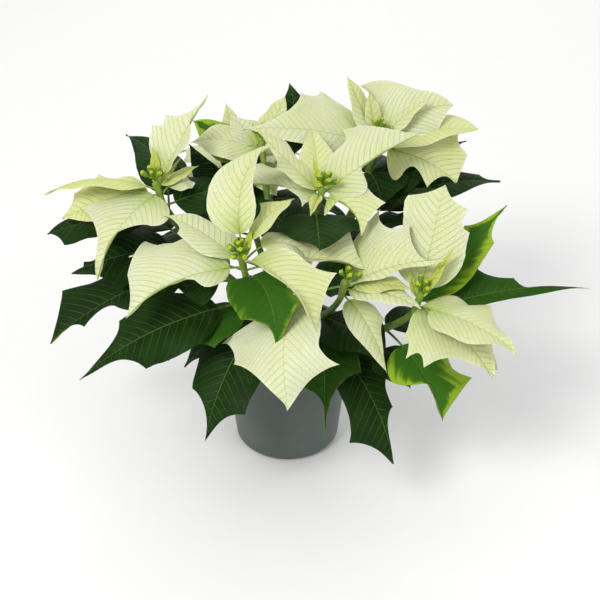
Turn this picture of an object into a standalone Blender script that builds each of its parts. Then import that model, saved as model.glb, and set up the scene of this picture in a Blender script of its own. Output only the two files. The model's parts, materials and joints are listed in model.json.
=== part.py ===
"""A cream poinsettia in a grey plastic nursery pot.

The plant is one short main stem that forks into eight leafy stems. Each leafy stem ends in a head:
a hub that carries the cream bracts, with a cluster of small green cyathia on top. Every leaf and
bract is one thin arched blade with a toothed outline, whose petiole is sunk into what it grows from.
Tables are in millimetres and degrees; meshes are in metres, +Z up, with the pot's base at the origin.
"""

import math
from dataclasses import dataclass

import bmesh
import bpy
import numpy as np
from mathutils import Vector
from mathutils.bvhtree import BVHTree

MM = 0.001
GAP_MM = 0.3  # what two pieces that touch keep between them
WELD = 0.002  # points closer than this are one
UP = np.array((0.0, 0.0, 1.0))
EAST = np.array((1.0, 0.0, 0.0))

# The pot and what fills it
POT_HEIGHT = 115.0
POT_TOP_RADIUS = 61.2
POT_BASE_RADIUS = 49.5
POT_WALL = 1.6
POT_FLOOR = 2.4
POT_HEEL_ROUND = 9.0
POT_LIP_DEPTH = 9.0
POT_LIP_REACH = 3.2
DRAIN_HOLES = 6
DRAIN_HOLE_RADIUS = 3.5
DRAIN_HOLE_SIDES = 8
DRAIN_RING_RADIUS = 30.0
SOIL_TOP = 103.0
SOIL_RINGS = 4
SOIL_SIDES = 20
SOIL_BUMPS = 1.0
SOIL_SEED = 7
POT_SIDES = 36
HEEL_STEPS = 3
POT_COLOUR = (0.07, 0.088, 0.078)
SOIL_COLOUR = (0.03, 0.018, 0.01)
POT_ROUGHNESS = 0.55
SOIL_ROUGHNESS = 0.95

# The main stem
TRUNK_RADIUS = 6.0
TRUNK_FOOT = 62.0
TRUNK_TOP = 157.7
TRUNK_SIDES = 12
TRUNK_COLOUR = (0.14, 0.13, 0.05)
TRUNK_ROUGHNESS = 0.8

# The leafy stems and heads
STEM_BASE_RADIUS = 3.6
STEM_TIP_RADIUS = 2.7
STEM_SIDES = 7
STEM_STEPS = 7
HUB_LENGTH = 20.0
HUB_RADIUS = 3.4
HUB_LEAN = 0.3
BEND_REACH = 0.72
BEND_RISE = 0.38
LEAF_COLOUR = (0.016, 0.06, 0.012)

# The cyathia: small green pods on short stalks
HUB_CROWN = 3.0
CYATHIA_FOOT = 1.5
CYATHIA_COLOUR = (0.2, 0.35, 0.03)
CYATHIA_ROUGHNESS = 0.5
POD_REACHES = (0.0, 7.5, 10.5, 14.5)
POD_RADII = (0.9, 0.8, 2.5, 1.3)
POD_SIDES = 5
POD_TRIES = 60
POD_ROOM = ((1.5, 1.3), (4.0, 1.3), (6.5, 1.6), (9.0, 2.8), (11.5, 2.9), (14.5, 2.0))
POD_SPACING = 5.2
POD_FOOT = 1.5
POD_LEAN = 12.0
POD_LEAN_MOST = 62.0
GOLDEN_ANGLE = math.radians(137.5)

# Every blade
BLADE_THICKNESS = 0.8
PETIOLE_BREADTH = 2.6
PETIOLE_THICKNESS = 2.2
MARGIN_POINTS = 9
LONG_PETIOLE = 15.0
WIDE_BLADE = 56.0
NARROW_BLADE = 22.0
SPINE_STEPS = 48
DROOP_POWER = 1.3
SWEEP_POWER = 1.5
WIDEST_AT = 0.36
HOLLOW_DEPTH = 0.62
HOLLOW_LEAST = 0.10
TIP_HALF_WIDTH = 0.45
LEAF_ROUGHNESS = 0.45
BRACT_ROUGHNESS = 0.55


@dataclass(frozen=True)
class Blade:
    """One leaf or bract: how it leaves its stem, how it bends, and the outline it is cut to."""

    name: str
    turn: float  # compass direction it leaves in, from +X, counter-clockwise from above
    lift: float  # slope that it leaves with, above the horizon
    droop: float  # how far it bends down from base to tip
    length: float
    width: float
    petiole: float = 12.0
    low: float = 6.0  # bract: distance below the head; leaf: share of the stem's length
    sweep: float = 0.0  # how far it bends sideways, to its left as seen from its base
    roll: float = 0.0  # turn about its midrib that raises its right half
    twist: float = 0.0  # further turn by the time the tip is reached
    fold: float = 10.0  # how far the two halves are raised from flat
    curl: float = -25.0  # how far each half bends on the way to its margin
    lean: float = 0.0  # how much wider its left half is than its right
    left: tuple = ()  # teeth: place along the midrib, reach in half widths
    right: tuple = ()


def unit(v):
    return np.array(v, float) / np.linalg.norm(v)


def between(x, places, rows):
    """The value at x of rows that lie at these places, read in a straight line."""
    return np.array([np.interp(x, places, rows[:, i]) for i in range(3)])


def plain_half_width(s):
    """Half width of a blade with no teeth, as a share of its largest: ovate with a drawn-out tip."""
    if s <= WIDEST_AT:
        return max(1.0 - ((WIDEST_AT - s) / WIDEST_AT) ** 2.3, 0.0) ** 0.55
    x = (s - WIDEST_AT) / (1.0 - WIDEST_AT)
    return (1.0 - x) ** 1.2 * (1.0 + 1.15 * x)


def half_width(s, teeth):
    """Half width at s of a side with these teeth: hollow curves run from point to point."""
    if not teeth or s <= teeth[0][0]:
        plain = plain_half_width(s)
        if not teeth:
            return plain
        flare = teeth[0][1] / plain_half_width(teeth[0][0]) - 1.0
        return plain * (1.0 + flare * (s / teeth[0][0]) ** 7)
    points = list(teeth) + [(1.0, 0.0)]
    for (s0, w0), (s1, w1) in zip(points, points[1:]):
        if s <= s1:
            u = (s - s0) / (s1 - s0)
            hollow = HOLLOW_DEPTH * (s1 - s0) + HOLLOW_LEAST
            straight = w0 + (w1 - w0) * u
            return max(straight - hollow * math.sin(math.pi * u**0.6), 0.0)
    return 0.0


def margin_places(teeth, count):
    """Where along the blade a side's margin points lie: on each tooth, in each hollow, and between."""
    places = [0.0, 0.05, 1.0]
    starts = [t[0] for t in teeth]
    for s0, s1 in zip(starts, starts[1:] + [1.0]):
        places += [s0, s0 + 0.22 * (s1 - s0)]
    places = sorted(places)
    while len(places) < count:
        gaps = [b - a for a, b in zip(places, places[1:])]
        widest = int(np.argmax(gaps))
        places.insert(widest + 1, (places[widest] + places[widest + 1]) / 2)
    return np.array(places)


class Spine:
    """The midrib of a blade from its root on the stem to its tip, with the frame that carries the halves."""

    def __init__(self, blade, root, steps=SPINE_STEPS):
        self.blade = blade
        self.total = blade.petiole + blade.length
        x = np.linspace(0.0, 1.0, steps + 1)
        rise = np.radians(blade.lift - blade.droop * x**DROOP_POWER)
        turn = np.radians(blade.turn + blade.sweep * x**SWEEP_POWER)
        along = np.stack([np.cos(rise) * np.cos(turn), np.cos(rise) * np.sin(turn), np.sin(rise)], 1)
        mids = (along[1:] + along[:-1]) / 2
        self.points = np.vstack([np.zeros(3), np.cumsum(mids, 0) * self.total / steps]) + np.array(root)
        level = np.stack([np.sin(turn), -np.cos(turn), np.zeros_like(turn)], 1)
        upright = np.cross(level, along)
        roll = np.radians(blade.roll + blade.twist * x)[:, None]
        self.across = np.cos(roll) * level + np.sin(roll) * upright
        self.normal = -np.sin(roll) * level + np.cos(roll) * upright
        self.x = x

    def at(self, s):
        """Point, across and normal at s along the blade, where the petiole runs below 0."""
        x = (self.blade.petiole + s * self.blade.length) / self.total
        across, normal = between(x, self.x, self.across), between(x, self.x, self.normal)
        return between(x, self.x, self.points), unit(across), unit(normal)

    def surface(self, s, w):
        """Point and normal at distance w to the right of the midrib: each half is folded up and curled."""
        point, across, normal = self.at(s)
        side, reach = math.copysign(1.0, w), abs(w)
        half = self.blade.width / 2
        start = math.radians(self.blade.fold)
        bend = math.radians(self.blade.curl) / half
        mean = start + bend * reach / 2
        end = start + bend * reach
        place = point + across * side * reach * math.cos(mean) + normal * reach * math.sin(mean)
        return place, normal * math.cos(end) - across * side * math.sin(end)


def blade_solid(blade, root, thickness=BLADE_THICKNESS, petiole=PETIOLE_THICKNESS, count=MARGIN_POINTS):
    """Vertices and triangles of a closed blade: midrib and two margins, over and under, petiole included."""
    spine = Spine(blade, root)
    left, right = margin_places(blade.left, count), margin_places(blade.right, count)
    rows = []
    for share in (0.0, 0.5) if blade.petiole >= LONG_PETIOLE else (0.0,):
        s = -blade.petiole / blade.length * (1.0 - share)
        rows.append([(s, -PETIOLE_BREADTH / 2), (s, 0.0), (s, PETIOLE_BREADTH / 2), petiole])
    for k in range(count):
        wl = max(half_width(left[k], blade.left) * blade.width / 2 * (1.0 + blade.lean), TIP_HALF_WIDTH)
        wr = max(half_width(right[k], blade.right) * blade.width / 2 * (1.0 - blade.lean), TIP_HALF_WIDTH)
        if k == 0:
            wl = wr = PETIOLE_BREADTH / 2
        mid = (left[k] + right[k]) / 2
        thick = petiole if k == 0 else thickness
        rows.append([(left[k], -wl), (mid, 0.0), (right[k], wr), thick])
    over, under = [], []
    for *places, thick in rows:
        for s, w in places:
            point, normal = spine.surface(s, w if w else 1e-9)
            over.append(point + normal * thick / 2)
            under.append(point - normal * thick / 2)
    lower = len(over)
    faces = []
    for k in range(len(rows) - 1):
        for c in range(2):
            a, b = 3 * k + c, 3 * k + c + 1
            d, e = a + 3, b + 3
            if c == 0:
                top = [(a, b, e), (a, e, d)]
            else:
                top = [(a, b, d), (b, e, d)]
            faces += top + [(r + lower, q + lower, p + lower) for p, q, r in top]
        for c, flip in ((0, False), (2, True)):
            a, d = 3 * k + c, 3 * k + c + 3
            rim = [(a, d, d + lower), (a, d + lower, a + lower)]
            faces += [f[::-1] for f in rim] if flip else rim
    for k, flip in ((0, True), (len(rows) - 1, False)):
        a, b, c = 3 * k, 3 * k + 1, 3 * k + 2
        cap = [(a, b, b + lower), (a, b + lower, a + lower), (b, c, c + lower), (b, c + lower, b + lower)]
        faces += [f[::-1] for f in cap] if flip else cap
    return np.array(over + under), faces


@dataclass(frozen=True)
class Head:
    """Where a head stands, where its stem forks from the trunk, and the bracts and leaves they bear."""

    name: str
    top: tuple  # the top of the hub, where the cyathia sit
    fork: float  # height at which the stem leaves the trunk
    pods: int
    bract_colour: tuple
    bracts: tuple = ()
    leaves: tuple = ()

    def axis(self):
        """The hub leans outwards, away from the pot's axis."""
        x, y, _ = self.top
        reach = math.hypot(x, y)
        return unit((HUB_LEAN * x / reach, HUB_LEAN * y / reach, 1.0))

    def hub_point(self, below):
        return np.array(self.top, float) - self.axis() * below

    def stem_point(self, share):
        """A point on the stem, which leaves the trunk outwards and bends up into the hub."""
        start = np.array((0.0, 0.0, self.fork))
        end = self.hub_point(HUB_LENGTH)
        reach = BEND_REACH * end
        bend = np.array((reach[0], reach[1], self.fork + BEND_RISE * (end[2] - self.fork)))
        u = share
        return (1 - u) ** 2 * start + 2 * u * (1 - u) * bend + u * u * end


TOOTHED = {"left": ((0.58, 1.10),), "right": ((0.52, 1.10),)}

# Blades: name, turn, lift, droop, length, width, then what differs from a plain one
LEFT = Head(
    "left", (-117, 17, 268), 140, pods=5, bract_colour=(0.68, 0.72, 0.45),
    bracts=(
        Blade("a", 40, 58, 15, 80, 49, 16, 5, sweep=-1, roll=9, twist=-15, fold=21, curl=7, lean=0.16,
              left=((0.40, 1.15), (0.57, 0.89)), right=((0.59, 0.41),)),
        Blade("b", -125, 2, 71, 102, 71, 6, 9, roll=5, left=((0.35, 0.70),), right=((0.45, 1.35),)),
        Blade("c", -169, 5, 35, 81, 54, 10, 11, roll=20, right=((0.50, 1.45), (0.80, 0.90))),
        Blade("d", -176, 25, 60, 96, 40, 10, 6, roll=-22, fold=-5, right=((0.65, 0.15),)),
        Blade("e", 26, 21, 10, 39, 18, 4, 3),
        Blade("f", 35, 61, 130, 30, 40, 12, 14),
        Blade("g", 105, 69, 5, 35, 10, 4, 6),
        Blade("h", 34, 46, 5, 31, 7, 4, 5),
    ),
    leaves=(
        Blade("a", -156, 2, 40, 139, 54, 30, 0.50, roll=20,
              left=((0.50, 0.40), (0.75, 0.45)), right=((0.75, 1.45),)),
        Blade("b", -159, 12, 30, 93, 60, 25, 0.65, roll=20, left=((0.65, 1.30),),
              right=((0.70, 0.40), (0.85, 0.15))),
        Blade("c", -172, 8, 30, 94, 50, 20, 0.90, roll=10, left=((0.85, 0.85),)),
        Blade("d", 93, 25, 17, 93, 46, 20, 0.93, sweep=60),
        Blade("e", 20, 16, 20, 51, 50, 10, 0.98, roll=-17),
        Blade("f", -24, 16, 30, 40, 46, 10, 0.88),
        Blade("g", 140, 12, 65, 105, 52, 25, 0.70, **TOOTHED),
        Blade("h", 95, 12, 65, 95, 52, 25, 0.40, **TOOTHED),
    ),
)
MIDDLE = Head(
    "middle", (32, -20, 282), 158, pods=7, bract_colour=(0.72, 0.76, 0.48),
    bracts=(
        Blade("b", 29, 26, 15, 102, 54, 6, 6, roll=-20, left=((0.55, 2.20), (0.65, 1.60)),
              right=((0.35, 0.25),)),
        Blade("c", -25, 10, 67, 51, 51, 8, 8, sweep=-60, roll=-23, left=((0.65, 1.10),),
              right=((0.20, 0.25),)),
        Blade("d", -110, -3, 30, 24, 13, 5, 4, fold=50),
        Blade("e", 174, 17, 25, 65, 46, 4, 6, roll=10, left=((0.15, 1.00),), right=((0.85, 1.90),)),
        Blade("f", 154, 37, 0, 74, 28, 5, 4, left=((0.50, 1.30),), right=((0.70, 1.90),)),
        Blade("g", 96, 22, 0, 73, 34, 4, 4, fold=25),
        Blade("h", 113, 58, 0, 29, 7, 4, 5),
        Blade("i", 153, 30, 10, 43, 10, 4, 2),
    ),
    leaves=(
        Blade("a", -88, 12, 25, 61, 70, 8, 0.96),
        Blade("b", 134, 31, 20, 51, 56, 20, 0.60),
        Blade("c", -171, 26, 30, 30, 50, 15, 0.70),
        Blade("d", -9, 42, 20, 45, 40, 20, 0.60),
    ),
)
RIGHT = Head(
    "right", (114, -97, 222), 118, pods=5, bract_colour=(0.73, 0.76, 0.51),
    bracts=(
        Blade("b", 70, 49, 5, 93, 60, 10, 5, left=((0.85, 1.00),), right=((0.60, 1.00), (0.80, 0.85))),
        Blade("c", -39, -5, 50, 88, 84, 4, 12, right=((0.15, 1.10), (0.30, 1.30), (0.50, 1.25))),
        Blade("d", -35, 10, 37, 82, 61, 16, 12, roll=5, left=((0.35, 1.95),)),
        Blade("e", -28, -6, 45, 72, 50, 16, 17, roll=-10),
        Blade("i", 14, 59, 0, 53, 14, 4, 6),
        Blade("j", 125, 58, 0, 22, 8, 4, 6),
    ),
    leaves=(
        Blade("a", 36, 33, 0, 115, 48, 25, 0.85, left=((0.70, 0.90),), right=((0.70, 0.70),)),
        Blade("b", 6, 25, 37, 146, 41, 35, 0.75, roll=-30, lean=0.5, left=((0.35, 1.00), (0.55, 0.35))),
        Blade("c", -54, -6, 60, 76, 62, 25, 0.70, left=((0.70, 1.55),), right=((0.50, 0.40),)),
        Blade("d", -53, -1, 50, 43, 46, 25, 0.55),
        Blade("e", 20, 12, 65, 100, 52, 25, 0.50, **TOOTHED),
    ),
)
FAR = Head(
    "far", (85, 74, 288), 144, pods=4, bract_colour=(0.66, 0.70, 0.42),
    bracts=(
        Blade("a", -162, 26, 25, 125, 56, 8, 9, roll=35, lean=-0.3, right=((0.30, 1.70), (0.50, 1.25))),
        Blade("b", 142, 60, 5, 63, 30, 4, 6),
        Blade("c", 119, 70, 0, 44, 18, 4, 6),
        Blade("d", 21, 41, 50, 71, 60, 14, 8, roll=-30, left=((0.20, 3.05),)),
        Blade("e", 14, 42, 10, 55, 28, 6, 4),
        Blade("f", 2, 21, 30, 90, 40, 6, 8, roll=-10, left=((0.75, 1.85),)),
        Blade("g", -17, -1, 40, 72, 65, 12, 10, roll=-35, left=((0.70, 1.45), (0.90, 0.85)),
              right=((0.30, 0.70), (0.70, 0.70))),
        Blade("h", 62, 2, 50, 88, 54, 10, 12, **TOOTHED),
        Blade("i", 112, 10, 45, 80, 50, 10, 10, **TOOTHED),
    ),
    leaves=(
        Blade("a", 30, 22, 20, 102, 40, 25, 0.75),
        Blade("b", 12, 27, 40, 125, 46, 30, 0.60, roll=-10, left=((0.85, 0.40),)),
        Blade("c", 1, 33, 24, 67, 46, 12, 0.76, roll=-20),
        Blade("d", -76, 14, 60, 43, 64, 8, 0.91),
        Blade("e", -26, 33, 20, 58, 58, 25, 0.50),
        Blade("f", -15, 32, 14, 68, 34, 25, 0.63),
        Blade("g", 70, 12, 65, 105, 52, 25, 0.80, **TOOTHED),
        Blade("h", 30, 12, 65, 95, 52, 25, 0.40, **TOOTHED),
    ),
)
REAR = Head(
    "rear", (-23, 64, 286), 150, pods=5, bract_colour=(0.62, 0.66, 0.40),
    bracts=(
        Blade("a", 172, 19, 40, 63, 50, 6, 6, roll=15),
        Blade("b", -169, 16, 58, 25, 39, 8, 12),
        Blade("c", 127, 32, 30, 44, 36, 8, 8),
        Blade("d", 46, 57, 5, 47, 34, 6, 6),
        Blade("e", 121, 46, 0, 23, 8, 4, 6),
        Blade("f", 77, -7, 46, 88, 53, 10, 15, roll=-4, **TOOTHED),
    ),
    leaves=(
        Blade("a", 148, 41, 20, 74, 64, 35, 0.60, roll=20, right=((0.45, 0.30),)),
        Blade("b", 125, 17, 20, 51, 44, 20, 0.85),
        Blade("c", 37, 46, -1, 73, 40, 25, 0.90, sweep=80),
        Blade("d", 144, 36, 30, 69, 41, 25, 0.90, roll=21),
        Blade("e", 126, 23, 65, 90, 49, 25, 0.59, roll=16, **TOOTHED),
    ),
)
LOW = Head(
    "low", (51, -75, 222), 134, pods=5, bract_colour=(0.70, 0.74, 0.50),
    bracts=(
        Blade("a", -17, 38, 30, 96, 74, 6, 5, roll=-35, lean=0.8, left=((0.30, 1.05), (0.60, 0.60))),
        Blade("b", -145, 15, 108, 107, 80, 41, 5, sweep=95, twist=-39, fold=-5, curl=-14, lean=-0.28,
              left=((0.64, 1.63),), right=((0.34, 1.91), (0.62, 1.13))),
        Blade("f", -36, 25, 40, 71, 34, 10, 10),
        Blade("g", -22, 24, 28, 50, 30, 12, 6),
        Blade("h", -55, -9, 60, 74, 34, 10, 14, left=((0.40, 1.20),)),
    ),
    leaves=(
        Blade("a", -54, 18, 40, 88, 60, 6, 0.55, roll=-4),
        Blade("b", -55, -3, 70, 138, 51, 25, 0.36, left=((0.45, 1.05), (0.65, 0.65)), right=((0.75, 1.40),)),
        Blade("c", -90, -8, 70, 103, 60, 20, 0.60, left=((0.40, 1.10),), right=((0.55, 0.60),)),
    ),
)
BACK = Head(
    "back", (-45, 122, 236), 126, pods=4, bract_colour=(0.60, 0.65, 0.40),
    bracts=(
        Blade("a", 75, 12, 50, 90, 52, 8, 10, **TOOTHED),
        Blade("b", 140, 16, 50, 84, 50, 8, 8, **TOOTHED),
        Blade("c", 200, 14, 45, 69, 44, 8, 11, **TOOTHED),
        Blade("d", 11, 12, 50, 65, 50, 8, 9, **TOOTHED),
        Blade("e", 110, 50, 10, 60, 26, 8, 5),
        Blade("f", -60, 20, 45, 64, 40, 8, 4, roll=-10),
    ),
    leaves=(
        Blade("a", 50, 12, 65, 100, 52, 25, 0.70, **TOOTHED),
        Blade("b", 120, 12, 65, 105, 52, 25, 0.80, **TOOTHED),
        Blade("c", 175, 17, 65, 100, 52, 25, 0.60, roll=-7, **TOOTHED),
        Blade("d", 5, 12, 65, 90, 52, 25, 0.85, **TOOTHED),
    ),
)
FRONT = Head(
    "front", (-37, -80, 250), 146, pods=9, bract_colour=(0.72, 0.76, 0.50),
    bracts=(
        Blade("a", 111, 80, 59, 84, 45, 25, 6, sweep=-90, roll=-3, twist=23, fold=30, curl=-31, lean=0.27),
        Blade("b", 40, 66, 79, 57, 27, 20, 5, sweep=6, roll=16, twist=-2, fold=15, curl=-11, lean=-0.31,
              left=((0.58, 2.07),)),
        Blade("c", 46, 67, 0, 28, 9, 4, 6),
        Blade("d", -164, 6, 55, 101, 62, 12, 12, roll=22, lean=-0.35,
              left=((0.30, 0.50),), right=((0.60, 1.95), (0.80, 0.80))),
        Blade("e", 142, 24, 35, 89, 42, 8, 8, left=((0.60, 0.80),)),
        Blade("f", 160, 11, 35, 98, 40, 14, 17),
        Blade("g", -46, 18, 78, 97, 47, 10, 5, sweep=-6, roll=-4, twist=35, fold=28, curl=10, lean=0.08,
              left=((0.64, 1.53),)),
        Blade("j", 29, 46, 122, 53, 45, 22, 8, sweep=-72, roll=18, twist=-38, fold=17, curl=-52, lean=0.09),
        Blade("k", 5, 17, 37, 78, 43, 28, 17, sweep=-12, roll=-5, twist=8, fold=32, curl=-4, lean=0.1,
              left=((0.63, 1.30), (0.75, 1.44))),
    ),
    leaves=(
        Blade("a", -62, 33, 130, 78, 49, 14, 0.96, sweep=-16, roll=-1, twist=-36, fold=12, curl=10, lean=-0.34,
              left=((0.62, 1.77),), right=((0.65, 0.84),)),
        Blade("b", 25, 32, 94, 87, 49, 50, 0.30, sweep=2, roll=-54, twist=-7, fold=-15, curl=-47,
              lean=-0.14),
        Blade("c", 177, 11, 40, 38, 52, 26, 0.85, roll=15),
        Blade("d", -145, 9, 50, 82, 44, 25, 0.45, roll=10, left=((0.55, 1.05),)),
        Blade("e", -157, 4, 40, 137, 64, 40, 0.55, roll=20, left=((0.60, 0.95),), right=((0.60, 0.85),)),
        Blade("f", -120, -10, 60, 119, 66, 25, 0.35, left=((0.70, 0.95),), right=((0.65, 0.75),)),
        Blade("g", -159, -11, 40, 74, 40, 25, 0.30),
    ),
)
HEADS = (LEFT, FRONT, MIDDLE, RIGHT, FAR, REAR, LOW, BACK)


def tube(points, normals, radii, side, sides):
    """Vertices and faces of a closed round tube with one ring at each point, square to its normal."""
    rings = []
    for point, normal, radius in zip(points, normals, radii):
        u = unit(side - np.dot(side, normal) * np.array(normal))
        v = np.cross(normal, u)
        turns = np.arange(sides) * 2 * math.pi / sides
        rings.append([np.array(point) + radius * (math.cos(t) * u + math.sin(t) * v) for t in turns])
    faces = []
    for k in range(len(rings) - 1):
        for c in range(sides):
            a, b = k * sides + c, k * sides + (c + 1) % sides
            faces.append((a, b, b + sides, a + sides))
    last = (len(rings) - 1) * sides
    faces.append(tuple(range(sides))[::-1])
    faces.append(tuple(range(last, last + sides)))
    return np.array([p for ring in rings for p in ring]), faces


def new_object(name, vertices, faces, collection=None):
    """A mesh object in metres from vertices in millimetres, its normals made to face outwards."""
    mesh = bpy.data.meshes.new(name)
    mesh.from_pydata([tuple(v * MM) for v in vertices], [], faces)
    bm = bmesh.new()
    bm.from_mesh(mesh)
    bmesh.ops.recalc_face_normals(bm, faces=bm.faces)
    bm.to_mesh(mesh)
    bm.free()
    obj = bpy.data.objects.new(name, mesh)
    (collection or bpy.context.scene.collection).objects.link(obj)
    return obj


def finish(obj, colour, roughness):
    """Give an object the one Principled material of its own."""
    material = bpy.data.materials.new(obj.name)
    material.use_nodes = True
    shader = material.node_tree.nodes["Principled BSDF"]
    shader.inputs["Base Color"].default_value = (*colour, 1.0)
    shader.inputs["Roughness"].default_value = roughness
    shader.inputs["Metallic"].default_value = 0.0
    obj.data.materials.clear()
    obj.data.materials.append(material)
    return obj


def signed_volume(faces):
    return sum(f.verts[0].co.dot(f.verts[1].co.cross(f.verts[2].co)) for f in faces) / 6


def keep_main_body(mesh):
    """Drop sealed hollows and loose scraps, so that one closed body is left, in triangles."""
    bm = bmesh.new()
    bm.from_mesh(mesh)
    bmesh.ops.remove_doubles(bm, verts=bm.verts, dist=WELD * MM)
    bmesh.ops.dissolve_degenerate(bm, edges=bm.edges, dist=WELD * MM)
    bmesh.ops.triangulate(bm, faces=bm.faces)
    left, bodies = set(bm.faces), []
    while left:
        body, edge = set(), [left.pop()]
        while edge:
            face = edge.pop()
            body.add(face)
            for link in (other for e in face.edges for other in e.link_faces):
                if link in left:
                    left.discard(link)
                    edge.append(link)
        bodies.append(body)
    bodies.sort(key=signed_volume)
    scraps = [face for body in bodies[:-1] for face in body]
    bmesh.ops.delete(bm, geom=scraps, context="FACES")
    bm.to_mesh(mesh)
    bm.free()


def fuse(name, body, pieces):
    """Join a body with everything that grows from it by one Boolean union, then drop the pieces."""
    union = body.modifiers.new("union", "BOOLEAN")
    union.operation = "UNION"
    union.operand_type = "COLLECTION"
    union.collection = pieces
    union.solver = "MANIFOLD"
    graph = bpy.context.evaluated_depsgraph_get()
    graph.update()
    mesh = bpy.data.meshes.new_from_object(body.evaluated_get(graph))
    for obj in list(pieces.objects) + [body]:
        bpy.data.objects.remove(obj, do_unlink=True)
    bpy.data.collections.remove(pieces)
    keep_main_body(mesh)
    mesh.name = name
    obj = bpy.data.objects.new(name, mesh)
    bpy.context.scene.collection.objects.link(obj)
    return obj


def pieces_collection(name):
    pieces = bpy.data.collections.new(name)
    bpy.context.scene.collection.children.link(pieces)
    return pieces


def turned(name, profile, sides):
    """A closed solid of revolution from a closed profile of (radius, height), radius 0 allowed."""
    vertices, faces, rings = [], [], []
    for radius, height in profile:
        start = len(vertices)
        if radius == 0:
            vertices.append(np.array((0.0, 0.0, height)))
            rings.append([start] * sides)
            continue
        for k in range(sides):
            t = 2 * math.pi * k / sides
            vertices.append(np.array((radius * math.cos(t), radius * math.sin(t), height)))
        rings.append(list(range(start, start + sides)))
    for lower, upper in zip(rings, rings[1:]):
        for k in range(sides):
            corners = [lower[k], lower[(k + 1) % sides], upper[(k + 1) % sides], upper[k]]
            face = list(dict.fromkeys(corners))
            if len(face) > 2:
                faces.append(face)
    return new_object(name, vertices, faces)


def pot_radius(height):
    """Outer radius of the pot's straight wall at this height."""
    return POT_BASE_RADIUS + (POT_TOP_RADIUS - POT_BASE_RADIUS) * height / POT_HEIGHT


def build_pot():
    """A tapered pot with a rounded heel, a lip round its mouth and drain holes in its floor."""
    profile = [(0.0, 0.0)]
    for k in range(HEEL_STEPS + 1):
        t = math.pi / 2 * k / HEEL_STEPS
        out = pot_radius(POT_HEEL_ROUND) - POT_HEEL_ROUND * (1.0 - math.sin(t))
        profile.append((out, POT_HEEL_ROUND * (1.0 - math.cos(t))))
    lip = POT_HEIGHT - POT_LIP_DEPTH
    profile += [
        (pot_radius(lip), lip),
        (pot_radius(lip) + POT_LIP_REACH, lip + 0.6),
        (pot_radius(POT_HEIGHT) + POT_LIP_REACH, POT_HEIGHT - 0.8),
        (pot_radius(POT_HEIGHT) + POT_LIP_REACH - 0.8, POT_HEIGHT),
        (pot_radius(POT_HEIGHT) - POT_WALL + 0.5, POT_HEIGHT),
        (pot_radius(POT_HEIGHT) - POT_WALL, POT_HEIGHT - 0.6),
        (pot_radius(POT_HEEL_ROUND) - POT_WALL, POT_HEEL_ROUND),
        (POT_BASE_RADIUS - POT_HEEL_ROUND, POT_FLOOR),
        (0.0, POT_FLOOR),
    ]
    pot = turned("pot_shell", profile, POT_SIDES)
    drills = pieces_collection("drills")
    for k in range(DRAIN_HOLES):
        t = 2 * math.pi * (k + 0.5) / DRAIN_HOLES
        at = np.array((DRAIN_RING_RADIUS * math.cos(t), DRAIN_RING_RADIUS * math.sin(t), 0.0))
        ends = [at + np.array((0.0, 0.0, z)) for z in (-2.0, POT_FLOOR + 2.0)]
        drill = tube(ends, [UP, UP], [DRAIN_HOLE_RADIUS] * 2, EAST, DRAIN_HOLE_SIDES)
        new_object(f"drill_{k}", *drill, drills)
    cut = pot.modifiers.new("drain_holes", "BOOLEAN")
    cut.operation = "DIFFERENCE"
    cut.operand_type = "COLLECTION"
    cut.collection = drills
    cut.solver = "EXACT"
    graph = bpy.context.evaluated_depsgraph_get()
    graph.update()
    mesh = bpy.data.meshes.new_from_object(pot.evaluated_get(graph))
    for obj in list(drills.objects) + [pot]:
        bpy.data.objects.remove(obj, do_unlink=True)
    bpy.data.collections.remove(drills)
    mesh.name = "pot"
    obj = bpy.data.objects.new("pot", mesh)
    bpy.context.scene.collection.objects.link(obj)
    return finish(obj, POT_COLOUR, POT_ROUGHNESS)


def soil_radius(height):
    """Radius of the soil at this height: it stands just clear of the pot's wall."""
    return pot_radius(height) - POT_WALL - GAP_MM


def build_soil():
    """The potting soil: it fills the pot, is a little uneven on top, and has a plain hole for the stem."""
    rng = np.random.default_rng(SOIL_SEED)
    floor = POT_FLOOR + GAP_MM
    profile = [(0.0, floor), (POT_BASE_RADIUS - POT_HEEL_ROUND - 1.0, floor)]
    profile.append((soil_radius(POT_HEEL_ROUND) - 0.4, POT_HEEL_ROUND + 0.6))
    profile.append((soil_radius(SOIL_TOP) - 0.1, SOIL_TOP))
    hole = TRUNK_RADIUS + GAP_MM
    for k in range(1, SOIL_RINGS):
        share = k / SOIL_RINGS
        profile.append((soil_radius(SOIL_TOP) * (1 - share) + hole * share, SOIL_TOP + 3.0 * share))
    profile += [(hole, SOIL_TOP + 3.0), (hole, TRUNK_FOOT - GAP_MM), (0.0, TRUNK_FOOT - GAP_MM)]
    soil = turned("soil", profile, SOIL_SIDES)
    for vertex in soil.data.vertices:
        reach = math.hypot(vertex.co.x, vertex.co.y) / MM
        if vertex.co.z > SOIL_TOP * MM and hole + 1.0 < reach < soil_radius(SOIL_TOP) - 1.0:
            vertex.co.z += rng.uniform(-SOIL_BUMPS, SOIL_BUMPS) * MM
    return finish(soil, SOIL_COLOUR, SOIL_ROUGHNESS)


def build_trunk():
    """The main stem, sunk in the soil, with the middle leafy stem standing on its tapered top."""
    levels = (TRUNK_FOOT, SOIL_TOP, TRUNK_TOP - 4.0, TRUNK_TOP)
    radii = (TRUNK_RADIUS, TRUNK_RADIUS, TRUNK_RADIUS - 0.4, STEM_BASE_RADIUS)
    points = [np.array((0.0, 0.0, z)) for z in levels]
    trunk = new_object("trunk", *tube(points, [UP] * 4, radii, EAST, TRUNK_SIDES))
    return finish(trunk, TRUNK_COLOUR, TRUNK_ROUGHNESS)


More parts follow.
